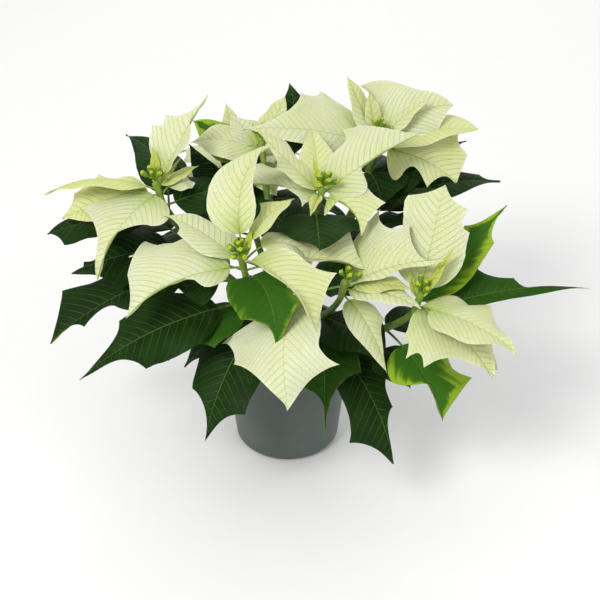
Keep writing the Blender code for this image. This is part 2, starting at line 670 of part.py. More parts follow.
def stem_tube(head):
    """The leafy stem of a head as a tube, from just off the trunk to just under the hub."""
    across = unit((-head.top[1], head.top[0], 0.0))
    outward = unit((head.top[0], head.top[1], 0.0))
    start = 0.0
    if head.fork < TRUNK_TOP:
        while np.dot(head.stem_point(start), outward) < TRUNK_RADIUS + GAP_MM:
            start += 0.001
    shares = np.linspace(start, 1.0, STEM_STEPS + 1)
    points = [head.stem_point(u) for u in shares]
    normals = [unit(head.stem_point(u + 0.01) - head.stem_point(u - 0.01)) for u in shares]
    normals[0] = outward if head.fork < TRUNK_TOP else UP
    normals[-1] = head.axis()
    points[-1] = points[-1] - head.axis() * GAP_MM / 2
    if head.fork > TRUNK_TOP:
        points[0] = points[0] * np.array((0.0, 0.0, 1.0))
    radii = np.linspace(STEM_BASE_RADIUS, STEM_TIP_RADIUS, STEM_STEPS + 1)
    return tube(points, normals, radii, across, STEM_SIDES)


def hub_tube(head):
    """The hub that carries a head's bracts."""
    across = unit((-head.top[1], head.top[0], 0.0))
    levels = (HUB_LENGTH - GAP_MM / 2, HUB_LENGTH * 0.5, 0.0, -HUB_CROWN)
    points = [head.hub_point(below) for below in levels]
    radii = (STEM_TIP_RADIUS, HUB_RADIUS, HUB_RADIUS, CYATHIA_FOOT)
    return tube(points, [head.axis()] * 4, radii, across, STEM_SIDES)


def count_for(blade):
    """Margin points of a blade: more on large ones, and never fewer than its teeth need."""
    plain = MARGIN_POINTS if blade.width >= WIDE_BLADE else MARGIN_POINTS - 3
    if blade.width < NARROW_BLADE:
        plain = MARGIN_POINTS - 4
    return max(plain, 3 + 2 * max(len(blade.left), len(blade.right)))


def build_leafy_stem(head):
    """One leafy stem with the leaves that grow from it."""
    pieces = pieces_collection(head.name + "_leaves")
    for leaf in head.leaves:
        root = head.stem_point(leaf.low)
        new_object("leaf_" + leaf.name, *blade_solid(leaf, root, count=count_for(leaf)), pieces)
    stem = new_object(head.name + "_stem", *stem_tube(head))
    return finish(fuse("leafy_stem_" + head.name, stem, pieces), LEAF_COLOUR, LEAF_ROUGHNESS)


def build_bracts(head):
    """The whorl of bracts of one head, grown from its hub."""
    pieces = pieces_collection(head.name + "_bracts")
    for bract in head.bracts:
        root = head.hub_point(bract.low)
        new_object("bract_" + bract.name, *blade_solid(bract, root, count=count_for(bract)), pieces)
    hub = new_object(head.name + "_hub", *hub_tube(head))
    return finish(fuse("bracts_" + head.name, hub, pieces), head.bract_colour, BRACT_ROUGHNESS)


def pod_heading(head, k):
    """The way that the cyathium on seat k points: the seats wind outwards from the hub's axis."""
    turn = k * GOLDEN_ANGLE
    lean = math.radians(min(POD_LEAN * math.sqrt(k), POD_LEAN_MOST))
    axis = head.axis()
    across = unit(np.cross(axis, (0.0, 1.0, 0.0)))
    ahead = np.cross(axis, across)
    aside = math.cos(turn) * across + math.sin(turn) * ahead
    return unit(axis * math.cos(lean) + aside * math.sin(lean))


def build_cyathia(head, blades):
    """The cluster of small green cyathia on a hub, each set where it keeps clear of every blade."""
    trees = [BVHTree.FromObject(obj, bpy.context.evaluated_depsgraph_get()) for obj in blades]
    pieces = pieces_collection(head.name + "_pods")
    foot = head.hub_point(-HUB_CROWN - POD_FOOT)
    taken = []
    for k in range(POD_TRIES):
        if len(taken) == head.pods:
            break
        heading = pod_heading(head, k)
        tests = [(Vector((foot + heading * reach) * MM), room * MM) for reach, room in POD_ROOM]
        if any(tree.find_nearest(place)[3] < room for place, room in tests for tree in trees):
            continue
        middle = foot + heading * POD_REACHES[2]
        if any(np.linalg.norm(middle - other) < POD_SPACING for other in taken):
            continue
        taken.append(middle)
        points = [foot + heading * reach for reach in POD_REACHES]
        side = unit(np.cross(heading, (0.3, 1.0, 0.2)))
        new_object(f"pod_{k}", *tube(points, [heading] * len(points), POD_RADII, side, POD_SIDES), pieces)
    axis = head.axis()
    ends = [head.hub_point(-HUB_CROWN - GAP_MM), head.hub_point(-HUB_CROWN - 2.5)]
    stub = tube(ends, [axis] * 2, (CYATHIA_FOOT, CYATHIA_FOOT), EAST, STEM_SIDES)
    disc = new_object(head.name + "_foot", *stub)
    return finish(fuse("cyathia_" + head.name, disc, pieces), CYATHIA_COLOUR, CYATHIA_ROUGHNESS)


def main():
    for obj in list(bpy.data.objects):
        bpy.data.objects.remove(obj, do_unlink=True)
    build_pot()
    build_soil()
    build_trunk()
    bracts = [build_bracts(head) for head in HEADS]
    leaves = [build_leafy_stem(head) for head in HEADS]
    for head in HEADS:
        build_cyathia(head, bracts + leaves)


main()
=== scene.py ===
"""The looks of a cream poinsettia in a grey plastic pot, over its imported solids.

One short trunk forks into eight leafy stems, each of which ends in a head: a whorl of cream bracts
round a cluster of small green cyathia. Every solid of the plant is replaced here by a finer one of
the same form, with veins, soft relief and thin toothed margins. The pot and its soil get their
moulding and their crumbs. Tables are in millimetres and degrees; meshes are in metres, +Z up, with
the centre of the pot's base at the origin.
"""

import json
import logging
import math
from abc import ABC, abstractmethod
from dataclasses import dataclass, field
from enum import Enum

import bmesh
import bpy
import numpy as np
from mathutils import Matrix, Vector
from mathutils.bvhtree import BVHTree

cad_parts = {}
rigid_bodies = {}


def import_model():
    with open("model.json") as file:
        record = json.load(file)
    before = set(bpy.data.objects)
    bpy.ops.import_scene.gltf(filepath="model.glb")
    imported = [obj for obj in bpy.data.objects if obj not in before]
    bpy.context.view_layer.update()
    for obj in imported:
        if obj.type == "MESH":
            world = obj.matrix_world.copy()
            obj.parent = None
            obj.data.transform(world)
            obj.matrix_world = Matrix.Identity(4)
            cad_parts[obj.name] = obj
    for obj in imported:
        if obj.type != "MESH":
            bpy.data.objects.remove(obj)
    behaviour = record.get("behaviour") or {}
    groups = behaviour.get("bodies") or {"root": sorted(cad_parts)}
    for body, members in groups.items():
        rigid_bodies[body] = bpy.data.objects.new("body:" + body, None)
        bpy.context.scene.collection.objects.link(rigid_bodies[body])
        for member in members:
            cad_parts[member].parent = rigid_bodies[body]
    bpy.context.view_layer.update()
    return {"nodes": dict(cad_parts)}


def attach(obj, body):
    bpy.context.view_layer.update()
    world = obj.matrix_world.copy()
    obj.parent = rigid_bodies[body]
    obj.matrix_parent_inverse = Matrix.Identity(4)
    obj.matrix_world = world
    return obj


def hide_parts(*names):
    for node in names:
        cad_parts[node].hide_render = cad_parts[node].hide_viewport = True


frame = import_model()

log = logging.getLogger("poinsettia")

MM = 0.001
ROOT_BODY = "root"

SEED_START, SEED_STEP, SEED_LIMIT = 7, 31, 1_000_003
WELD = 1e-6  # metres

Array = np.ndarray
Pair = tuple[Array, Array]
Socket = bpy.types.NodeSocket
Material = bpy.types.Material
Mesh = bpy.types.Mesh
Thing = bpy.types.Object
Triple = tuple[float, float, float]
Colour = Triple
Places = list[tuple[float, float]]
Rows = tuple[tuple[float, float], ...]
Faces = list[tuple[int, ...]]


# Tools that several pieces use


def unit(v: object) -> Array:
    """The same direction at length one."""
    return np.array(v, float) / np.linalg.norm(v)


def seed_for(*words: object) -> int:
    """A fixed seed from names, the same in every run.

    Args:
        words: What the seed is for.

    Returns:
        The seed.
    """
    value = SEED_START
    for letter in "".join(str(word) for word in words):
        value = (value * SEED_STEP + ord(letter)) % SEED_LIMIT
    return value


def ring_faces(rings: list[list[int]]) -> Faces:
    """The faces between rings of points: four corners each, or three where a ring is a single point.

    Args:
        rings: The point numbers of each ring, all equally long.

    Returns:
        The faces' corner numbers.
    """
    faces = []
    sides = len(rings[0])
    for lower, upper in zip(rings, rings[1:]):
        for k in range(sides):
            after = (k + 1) % sides
            face = tuple(dict.fromkeys((lower[k], lower[after], upper[after], upper[k])))
            if len(face) > 2:
                faces.append(face)
    return faces


def lathe(profile: Places, sides: int) -> tuple[list, Faces]:
    """A closed solid of revolution from a closed profile.

    Args:
        profile: Pairs of radius and height in millimetres; a radius of 0 closes the form.
        sides: Points round each ring.

    Returns:
        Points in millimetres and faces.
    """
    points, rings = [], []
    for radius, height in profile:
        start = len(points)
        count = sides if radius else 1
        for k in range(count):
            turn = 2 * math.pi * k / sides
            points.append((radius * math.cos(turn), radius * math.sin(turn), height))
        rings.append([start + k % count for k in range(sides)])
    return points, ring_faces(rings)


def arc(centre: tuple[float, float], radius: float, start: float, end: float, steps: int) -> Places:
    """Points of a rounded corner.

    Args:
        centre: Radius and height of the corner's centre.
        radius: The corner's own radius.
        start: Direction that it starts at, in degrees from outwards.
        end: Direction that it ends at.
        steps: How many stretches it is drawn with.

    Returns:
        The points, ends included.
    """
    turns = np.radians(np.linspace(start, end, steps + 1))
    return [(centre[0] + radius * math.cos(t), centre[1] + radius * math.sin(t)) for t in turns]


def add_object(name: str, data: object) -> Thing:
    """Put an object in the scene.

    Args:
        name: What it is called.
        data: Its mesh, lamp or camera.

    Returns:
        The object.
    """
    thing = bpy.data.objects.new(name, data)
    bpy.context.scene.collection.objects.link(thing)
    return thing


def evaluated(thing: Thing) -> Mesh:
    """The mesh of an object with its modifiers applied.

    Args:
        thing: The object.

    Returns:
        A mesh of its own.
    """
    graph = bpy.context.evaluated_depsgraph_get()
    graph.update()
    return bpy.data.meshes.new_from_object(thing.evaluated_get(graph))


def solid_mesh(name: str, points: list, faces: Faces) -> Mesh:
    """A smooth-shaded mesh from points in millimetres.

    Args:
        name: What the mesh is called.
        points: Its points.
        faces: The corner numbers of its faces.

    Returns:
        The mesh, in metres.
    """
    mesh = bpy.data.meshes.new(name)
    mesh.from_pydata([tuple(c * MM for c in p) for p in points], [], faces, shade_flat=False)
    return mesh


def outward(mesh: Mesh) -> None:
    """Weld a mesh's doubles and turn all its faces outwards.

    Args:
        mesh: The mesh.
    """
    bm = bmesh.new()
    bm.from_mesh(mesh)
    bmesh.ops.remove_doubles(bm, verts=bm.verts, dist=WELD)
    bmesh.ops.recalc_face_normals(bm, faces=bm.faces)
    bm.to_mesh(mesh)
    bm.free()


def crisp_edges(mesh: Mesh, angle: float) -> None:
    """Shade a mesh smooth, but keep its edges sharper than an angle crisp.

    Args:
        mesh: The mesh.
        angle: The angle in degrees.
    """
    mesh.shade_smooth()
    bm = bmesh.new()
    bm.from_mesh(mesh)
    for edge in bm.edges:
        edge.smooth = len(edge.link_faces) == 2 and edge.calc_face_angle(0.0) < math.radians(angle)
    bm.to_mesh(mesh)
    bm.free()


# Camera, floor and lights


@dataclass(frozen=True)
class PhotoCamera:
    """The camera, at the photograph's viewing angle: it looks down at the plant from the front."""

    aim: Triple = (12.5, 0.0, 155.0)
    elevation: float = 33.0
    distance: float = 1215.0
    lens: float = 78.0
    sensor: float = 36.0
    sight: float = 20.0  # metres

    def build(self) -> None:
        """Make the camera and set it as the scene's."""
        slope = math.radians(self.elevation)
        data = bpy.data.cameras.new("photo_camera")
        data.lens = self.lens
        data.sensor_width = self.sensor
        data.sensor_fit = "HORIZONTAL"
        data.clip_end = self.sight
        camera = add_object("photo_camera", data)
        back = self.distance * math.cos(slope)
        rise = self.distance * math.sin(slope)
        x, y, z = self.aim
        camera.location = Vector((x, y - back, z + rise)) * MM
        camera.rotation_euler = (math.pi / 2 - slope, 0.0, 0.0)
        bpy.context.scene.camera = camera


@dataclass(frozen=True)
class SoftBox:
    """One soft studio light: a square lamp that faces the plant. Its places and size are in metres."""

    name: str
    place: Triple
    size: float
    power: float
    tint: Colour = (1.0, 1.0, 1.0)
    aim: Triple = (0.0, 0.0, 0.18)

    def build(self) -> None:
        """Make the lamp and turn it towards its aim."""
        data = bpy.data.lights.new(self.name, "AREA")
        data.shape = "SQUARE"
        data.size = self.size
        data.energy = self.power
        data.color = self.tint
        lamp = add_object(self.name, data)
        lamp.location = self.place
        look = Vector(self.aim) - Vector(self.place)
        lamp.rotation_euler = look.to_track_quat("-Z", "Y").to_euler()


@dataclass(frozen=True)
class Studio:
    """The plain pale floor and the soft light round it."""

    floor_half: float = 6.0  # metres
    floor_grey: float = 0.90
    floor_roughness: float = 0.9
    grain: float = 1.02
    grain_scale: float = 30.0
    world_strength: float = 0.58
    lamps: tuple[SoftBox, ...] = (
        SoftBox("key_light", (-1.1, -1.5, 2.0), 0.9, 42.0, (1.0, 0.99, 0.97)),
        SoftBox("fill_light", (1.7, -1.2, 1.3), 1.6, 10.0, (0.96, 0.98, 1.0)),
        SoftBox("back_light", (0.2, 1.9, 1.7), 1.4, 14.0, (1.0, 1.0, 0.98)),
    )

    def build(self) -> None:
        """Lay the floor, light the world and set up the lamps.

        Light is shown as it falls, without a film curve, as in a plain product photograph.
        """
        h = self.floor_half
        mesh = bpy.data.meshes.new("studio_floor")
        mesh.from_pydata([(-h, -h, 0.0), (h, -h, 0.0), (h, h, 0.0), (-h, h, 0.0)], [], [(0, 1, 2, 3)])
        floor = add_object("studio_floor", mesh)
        paper = ShaderTree("studio_paper")
        grain = paper.noise(paper.object_place(), self.grain_scale, 2.0)
        tone, lighter = self.floor_grey, self.floor_grey * self.grain
        pale = paper.blend(grain, (tone, tone, tone), (lighter, lighter, lighter))
        floor.data.materials.append(paper.finish(pale, roughness=self.floor_roughness))
        world = bpy.data.worlds.new("studio_world")
        world.use_nodes = True
        sky = world.node_tree.nodes["Background"]
        sky.inputs["Color"].default_value = (1.0, 1.0, 1.0, 1.0)
        sky.inputs["Strength"].default_value = self.world_strength
        bpy.context.scene.world = world
        bpy.context.scene.view_settings.view_transform = "Standard"
        for lamp in self.lamps:
            lamp.build()


# Node helpers


class ShaderTree:
    """A material under construction, with one short method for each kind of node that it uses."""

    MIX_A, MIX_B, MIX_RESULT = 6, 7, 2  # a Mix node's colour sockets, by their numbers

    def __init__(self, name: str) -> None:
        """Start a material that holds one Principled shader.

        Args:
            name: The material's name.
        """
        self.material = bpy.data.materials.new(name)
        self.material.use_nodes = True
        self.tree = self.material.node_tree
        self.shader = self.tree.nodes["Principled BSDF"]

    def node(self, kind: str, **settings: object) -> bpy.types.Node:
        """Add a node and set its properties.

        Args:
            kind: The node's type name.
            settings: Properties to set on it.

        Returns:
            The new node.
        """
        node = self.tree.nodes.new(kind)
        for key, value in settings.items():
            setattr(node, key, value)
        return node

    def feed(self, socket: Socket, value: object) -> None:
        """Link a socket's output, or set a number or a colour, into an input.

        Args:
            socket: The input to fill.
            value: An output socket, a number, or a colour.
        """
        if isinstance(value, Socket):
            self.tree.links.new(value, socket)
        elif isinstance(value, tuple) and socket.type == "RGBA":
            socket.default_value = (*value, 1.0)
        else:
            socket.default_value = value

    def object_place(self) -> Socket:
        """The place on the object, in metres."""
        return self.node("ShaderNodeTexCoord").outputs["Object"]

    def attribute(self, name: str) -> Socket:
        """A vector that the mesh carries at its points."""
        return self.node("ShaderNodeAttribute", attribute_name=name).outputs["Vector"]

    def parts(self, vector: Socket) -> tuple[Socket, ...]:
        """Split a vector.

        Args:
            vector: The vector's socket.

        Returns:
            The sockets of its three numbers.
        """
        split = self.node("ShaderNodeSeparateXYZ")
        self.feed(split.inputs[0], vector)
        return tuple(split.outputs)

    def math(self, rule: str, a: object, b: object = 0.0, limit: bool = False) -> Socket:
        """One step of arithmetic.

        Args:
            rule: The operation, such as MULTIPLY.
            a: First value.
            b: Second value.
            limit: Keep the result between 0 and 1.

        Returns:
            The result's socket.
        """
        node = self.node("ShaderNodeMath", operation=rule, use_clamp=limit)
        self.feed(node.inputs[0], a)
        self.feed(node.inputs[1], b)
        return node.outputs[0]

    def times(self, a: object, b: object, limit: bool = False) -> Socket:
        """The product of two values."""
        return self.math("MULTIPLY", a, b, limit)

    def plus(self, a: object, b: object, limit: bool = False) -> Socket:
        """The sum of two values."""
        return self.math("ADD", a, b, limit)

    def minus(self, a: object, b: object, limit: bool = False) -> Socket:
        """The first value less the second."""
        return self.math("SUBTRACT", a, b, limit)

    def larger(self, a: object, b: object) -> Socket:
        """The larger of two values."""
        return self.math("MAXIMUM", a, b)

    def fade(self, value: object, start: object, end: object, low: float = 0.0, high: float = 1.0) -> Socket:
        """A smooth step from low at start to high at end.

        Args:
            value: What is measured.
            start: Where the step begins.
            end: Where it is done.
            low: The result before the start.
            high: The result past the end.

        Returns:
            The result's socket.
        """
        node = self.node("ShaderNodeMapRange", interpolation_type="SMOOTHSTEP", clamp=True)
        for socket, part in zip(node.inputs, (value, start, end, low, high)):
            self.feed(socket, part)
        return node.outputs[0]

    def blend(self, share: object, a: object, b: object) -> Socket:
        """A colour between two others.

        Args:
            share: How much of the second colour.
            a: First colour.
            b: Second colour.

        Returns:
            The colour's socket.
        """
        node = self.node("ShaderNodeMix", data_type="RGBA")
        self.feed(node.inputs[0], share)
        self.feed(node.inputs[self.MIX_A], a)
        self.feed(node.inputs[self.MIX_B], b)
        return node.outputs[self.MIX_RESULT]

    def noise(self, place: object, scale: float, detail: float, rough: float = 0.55) -> Socket:
        """Soft random patches between 0 and 1.

        Args:
            place: Where the pattern is read.
            scale: How fine it is.
            detail: How many finer layers it has.
            rough: How strong the finer layers are.

        Returns:
            The pattern's socket.
        """
        node = self.node("ShaderNodeTexNoise")
        values = {"Vector": place, "Scale": scale, "Detail": detail, "Roughness": rough}
        for title, value in values.items():
            self.feed(node.inputs[title], value)
        return node.outputs["Fac"]

    def patches(self, place: object, scale: float, start: float, end: float, detail: float = 2.0,
                rough: float = 0.55) -> Socket:
        """Soft random patches with a clearer edge.

        Args:
            place: Where the pattern is read.
            scale: How fine it is.
            start: Up to here the noise counts as nothing.
            end: From here it counts in full.
            detail: How many finer layers it has.
            rough: How strong the finer layers are.

        Returns:
            The pattern's socket, between 0 and 1.
        """
        return self.fade(self.noise(place, scale, detail, rough), start, end)

    def cells(self, place: object, scale: float, feature: str = "DISTANCE_TO_EDGE") -> Socket:
        """A distance in a net of random cells.

        Args:
            place: Where the pattern is read.
            scale: How many cells there are to a unit of place.
            feature: What it is the distance to: the nearest border, or F1 for the cell's middle.

        Returns:
            The pattern's socket.
        """
        node = self.node("ShaderNodeTexVoronoi", feature=feature)
        self.feed(node.inputs["Vector"], place)
        self.feed(node.inputs["Scale"], scale)
        return node.outputs["Distance"]

    def net(self, place: object, scale: float, breadth: float) -> Socket:
        """Fine lines along the borders of random cells.

        Args:
            place: Where the pattern is read.
            scale: How many cells there are to a unit of place.
            breadth: How far a line reaches from the border, in cells.

        Returns:
            The lines' mask.
        """
        return self.fade(self.cells(place, scale), 0.0, breadth, 1.0, 0.0)

    def dots(self, place: object, scale: float, core: float, rim: float) -> Socket:
        """Small soft dots, one in each random cell.

        Args:
            place: Where the pattern is read.
            scale: How many cells there are to a unit of place.
            core: Radius of a dot's full middle, in cells.
            rim: Radius at which it has faded away.

        Returns:
            The dots' mask.
        """
        return self.fade(self.cells(place, scale, "F1"), core, rim, 1.0, 0.0)

    def stretched(self, place: object, scale: Triple) -> Socket:
        """A place measured at its own scale along each axis.

        Args:
            place: Where a pattern is read.
            scale: The three scales.

        Returns:
            The new place.
        """
        node = self.node("ShaderNodeMapping")
        self.feed(node.inputs["Vector"], place)
        node.inputs["Scale"].default_value = scale
        return node.outputs[0]

    def relief(self, height: object, depth_mm: float) -> None:
        """Shade the surface as if it had this relief.

        Args:
            height: The relief, from 0 to 1.
            depth_mm: What a height of 1 stands for.
        """
        bump = self.node("ShaderNodeBump")
        self.feed(bump.inputs["Strength"], 1.0)
        self.feed(bump.inputs["Distance"], depth_mm * MM)
        self.feed(bump.inputs["Height"], height)
        self.feed(self.shader.inputs["Normal"], bump.outputs["Normal"])

    def finish(self, colour: object, **values: float) -> Material:
        """Give the shader its colour and its fixed values.

        Args:
            colour: The base colour, as a socket or three numbers.
            values: Shader inputs by name, with _ for a space; roughness may be a socket.

        Returns:
            The finished material.
        """
        self.feed(self.shader.inputs["Base Color"], colour)
        titles = {socket.name.lower().replace(" ", "_"): socket for socket in self.shader.inputs}
        for key, value in values.items():
            self.feed(titles[key], value)
        return self.material


class GeometryTree:
    """A Geometry Nodes tree under construction, with named inputs and Realize Instances at its end."""

    def __init__(self, name: str) -> None:
        """Start a tree that takes in one geometry.

        Args:
            name: The tree's name.
        """
        self.group = bpy.data.node_groups.new(name, "GeometryNodeTree")
        for way in ("INPUT", "OUTPUT"):
            self.group.interface.new_socket("Geometry", in_out=way, socket_type="NodeSocketGeometry")
        self.source = self.group.nodes.new("NodeGroupInput")
        self.keys: dict[str, str] = {}

    def input(self, title: str, kind: str) -> Socket:
        """Add a named input.

        Args:
            title: The input's name.
            kind: Its type: Int, Float, Object or Material.

        Returns:
            The socket that gives its value inside the tree.
        """
        item = self.group.interface.new_socket(title, in_out="INPUT", socket_type="NodeSocket" + kind)
        self.keys[title] = item.identifier
        return self.source.outputs[title]

    def node(self, kind: str, links: dict | None = None, **settings: object) -> bpy.types.Node:
        """Add a node, set its properties and fill its inputs.

        Args:
            kind: The node's type name.
            links: What goes into each input, by name or number.
            settings: Properties to set on it.

        Returns:
            The new node.
        """
        node = self.group.nodes.new(kind)
        for key, value in settings.items():
            setattr(node, key, value)
        for key, value in (links or {}).items():
            if isinstance(value, Socket):
                self.group.links.new(value, node.inputs[key])
            else:
                node.inputs[key].default_value = value
        return node

    def named(self, name: str, kind: str = "FLOAT") -> Socket:
        """Read an attribute of the points by its name."""
        return self.node("GeometryNodeInputNamedAttribute", {"Name": name}, data_type=kind).outputs[0]

    def close(self, geometry: Socket, material: Socket) -> None:
        """End the tree with smooth faces, Realize Instances and Set Material.

        Args:
            geometry: What the tree has made.
            material: The finish that it gets.
        """
        smooth = self.node("GeometryNodeSetShadeSmooth", {"Geometry": geometry})
        real = self.node("GeometryNodeRealizeInstances", {"Geometry": smooth.outputs[0]})
        painted = self.node("GeometryNodeSetMaterial", {"Geometry": real.outputs[0], "Material": material})
        sink = self.group.nodes.new("NodeGroupOutput")
        self.group.links.new(painted.outputs[0], sink.inputs[0])

    def run(self, name: str, source: Mesh, values: dict[str, object]) -> Mesh:
        """Run the tree over a mesh and keep the result as a plain mesh.

        Args:
            name: What the result is called.
            source: The mesh that goes in, which is used up.
            values: The tree's inputs by name.

        Returns:
            The mesh that the tree makes.
        """
        carrier = add_object(name + "_carrier", source)
        modifier = carrier.modifiers.new("grow", "NODES")
        modifier.node_group = self.group
        for title, value in values.items():
            modifier[self.keys[title]] = value
        mesh = evaluated(carrier)
        mesh.name = name
        bpy.data.objects.remove(carrier, do_unlink=True)
        bpy.data.meshes.remove(source)
        return mesh


@dataclass
class TubeGrower:
    """Grows round tubes along the paths of a mesh whose points carry their radius in metres."""

    tree: GeometryTree = field(init=False)

    def __post_init__(self) -> None:
        """Build the tree once; every stem, stalk and rib is grown by it."""
        tree = GeometryTree("tube_along_paths")
        sides = tree.input("Sides", "Int")
        material = tree.input("Finish", "Material")
        paths = tree.node("GeometryNodeMeshToCurve", {"Mesh": tree.source.outputs["Geometry"]})
        ring = tree.node("GeometryNodeCurvePrimitiveCircle", {"Resolution": sides, "Radius": 1.0})
        links = {
            "Curve": paths.outputs[0],
            "Profile Curve": ring.outputs[0],
            "Scale": tree.named("radius"),
            "Fill Caps": True,
        }
        tubes = tree.node("GeometryNodeCurveToMesh", links)
        tree.close(tubes.outputs[0], material)
        self.tree = tree

    def grow(self, name: str, paths: list, sides: int, material: Material) -> Mesh:
        """Grow one tube on each path.

        Args:
            name: What the mesh is called.
            paths: Pairs of an array of points and an array of radii, in millimetres.
            sides: How many sides each tube has.
            material: The tubes' finish.

        Returns:
            One mesh with every tube, closed at both ends.
        """
        vertices, edges, radii = [], [], []
        for points, radius in paths:
            start = len(vertices)
            vertices += [tuple(p * MM) for p in points]
            radii += [r * MM for r in radius]
            edges += [(start + k, start + k + 1) for k in range(len(points) - 1)]
        mesh = bpy.data.meshes.new(name + "_paths")
        mesh.from_pydata(vertices, edges, [])
        mesh.attributes.new("radius", "FLOAT", "POINT").data.foreach_set("value", radii)
        return self.tree.run(name, mesh, {"Sides": sides, "Finish": material})


@dataclass
class Scatter:
    """Copies a small shape to given places, each turned to its own direction and at its own size."""

    LEAST, MOST, NUMBER = 2, 3, 1  # a Random Value node's sockets for plain numbers, by their places

    tree: GeometryTree = field(init=False)

    def __post_init__(self) -> None:
        """Build the tree once; every pod and crumb is copied by it."""
        tree = GeometryTree("shape_on_seats")
        shape = tree.input("Shape", "Object")
        seed = tree.input("Seed", "Int")
        material = tree.input("Finish", "Material")
        one = tree.node("GeometryNodeObjectInfo", {"Object": shape, "As Instance": True})
        turn = tree.node(
            "FunctionNodeAlignRotationToVector", {"Vector": tree.named("heading", "FLOAT_VECTOR")}, axis="Z"
        )
        turns = {self.LEAST: 0.0, self.MOST: 2 * math.pi, "Seed": seed}
        spin = tree.node("FunctionNodeRandomValue", turns, data_type="FLOAT")
        about = tree.node("FunctionNodeAxisAngleToRotation", {"Angle": spin.outputs[self.NUMBER]})
        angles = {"Rotation": turn.outputs[0], "Rotate By": about.outputs[0]}
        both = tree.node("FunctionNodeRotateRotation", angles, rotation_space="LOCAL")
        links = {
            "Points": tree.source.outputs["Geometry"],
            "Instance": one.outputs["Geometry"],
            "Rotation": both.outputs[0],
            "Scale": tree.named("size"),
        }
        copies = tree.node("GeometryNodeInstanceOnPoints", links)
        tree.close(copies.outputs[0], material)
        self.tree = tree

    def copy(self, name: str, shape: Mesh, seats: list, material: Material) -> Mesh:
        """Copy a shape to seats.

        Args:
            name: What the result is called.
            shape: The shape's mesh, in metres, which is used up.
            seats: For each copy its place in millimetres, its direction and its size.
            material: The finish.

        Returns:
            One mesh with all the copies.
        """
        model = add_object(name + "_shape", shape)
        points = bpy.data.meshes.new(name + "_seats")
        points.from_pydata([tuple(place * MM) for place, _, _ in seats], [], [])
        headings = np.array([heading for _, heading, _ in seats])
        points.attributes.new("heading", "FLOAT_VECTOR", "POINT").data.foreach_set("vector", headings.ravel())
        points.attributes.new("size", "FLOAT", "POINT").data.foreach_set("value", [s for _, _, s in seats])
        values = {"Shape": model, "Seed": seed_for(name), "Finish": material}
        mesh = self.tree.run(name, points, values)
        bpy.data.objects.remove(model, do_unlink=True)
        bpy.data.meshes.remove(shape)
        return mesh


def as_piece(name: str, mesh: Mesh, node: str) -> None:
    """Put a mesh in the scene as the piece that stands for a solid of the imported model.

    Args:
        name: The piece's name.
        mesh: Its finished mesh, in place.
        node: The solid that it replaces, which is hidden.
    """
    piece = add_object(name, mesh)
    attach(piece, ROOT_BODY)
    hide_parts(node)
    log.info("%s: %d triangles", name, sum(len(p.vertices) - 2 for p in mesh.polygons))


# Blades: one leaf or bract each


class Growth(Enum):
    """The two kinds of blade that the plant bears."""

    LEAF = "leaf"
    BRACT = "bract"


@dataclass(frozen=True)
class Blade:
    """One leaf or bract: how it leaves its stem, how it bends, and the outline it is cut to."""

    name: str
    turn: float  # compass direction it leaves in, from +X, counter-clockwise from above
    lift: float  # slope that it leaves with, above the horizon
    droop: float  # how far it bends down from base to tip
    length: float
    width: float
    petiole: float = 12.0
    low: float = 6.0  # bract: distance below the head; leaf: share of the stem's length
    sweep: float = 0.0  # how far it bends sideways, to its left as seen from its base
    roll: float = 0.0  # turn about its midrib that raises its right half
    twist: float = 0.0  # further turn by the time the tip is reached
    fold: float = 10.0  # how far the two halves are raised from flat
    curl: float = -25.0  # how far each half bends on the way to its margin
    lean: float = 0.0  # how much wider its left half is than its right
    left: Rows = ()  # teeth: place along the midrib, reach in half widths
    right: Rows = ()
    tone: float = 0.0  # leaf: 0 dark to 1 bright green; bract: 0 cream to 1 yellow
    rim: float = 0.0  # leaf: width of its yellow-green margin; bract: how green its midrib is


@dataclass(frozen=True)
class Outline:
    """The form of a blade's margin, in shares of the blade's length and in half widths."""

    widest: float = 0.36
    base_round: float = 2.3
    base_full: float = 0.55
    tip_taper: float = 1.2
    tip_full: float = 1.15
    flare: int = 7
    hollow: float = 0.62
    hollow_least: float = 0.10
    hollow_lean: float = 0.6

    def plain(self, s: float) -> float:
        """Half width of a blade with no teeth: ovate with a drawn-out tip.

        Args:
            s: Place along the blade, 0 at its base and 1 at its tip.

        Returns:
            The half width there, as a share of its largest.
        """
        if s <= self.widest:
            rounded = 1.0 - ((self.widest - s) / self.widest) ** self.base_round
            return max(rounded, 0.0) ** self.base_full
        x = (s - self.widest) / (1.0 - self.widest)
        return (1.0 - x) ** self.tip_taper * (1.0 + self.tip_full * x)

    def toothed(self, s: float, teeth: Rows) -> float:
        """Half width of one side: hollow curves run from tooth to tooth and on to the tip.

        Args:
            s: Place along the blade.
            teeth: Place and reach of each tooth on this side.

        Returns:
            The half width there, in half widths of the plain blade.
        """
        if not teeth:
            return self.plain(s)
        first, reach = teeth[0]
        if s <= first:
            flare = reach / self.plain(first) - 1.0
            return self.plain(s) * (1.0 + flare * (s / first) ** self.flare)
        points = [*teeth, (1.0, 0.0)]
        for (s0, w0), (s1, w1) in zip(points, points[1:]):
            if s <= s1:
                u = (s - s0) / (s1 - s0)
                hollow = self.hollow * (s1 - s0) + self.hollow_least
                straight = w0 + (w1 - w0) * u
                return max(straight - hollow * math.sin(math.pi * u**self.hollow_lean), 0.0)
        return 0.0


OUTLINE = Outline()


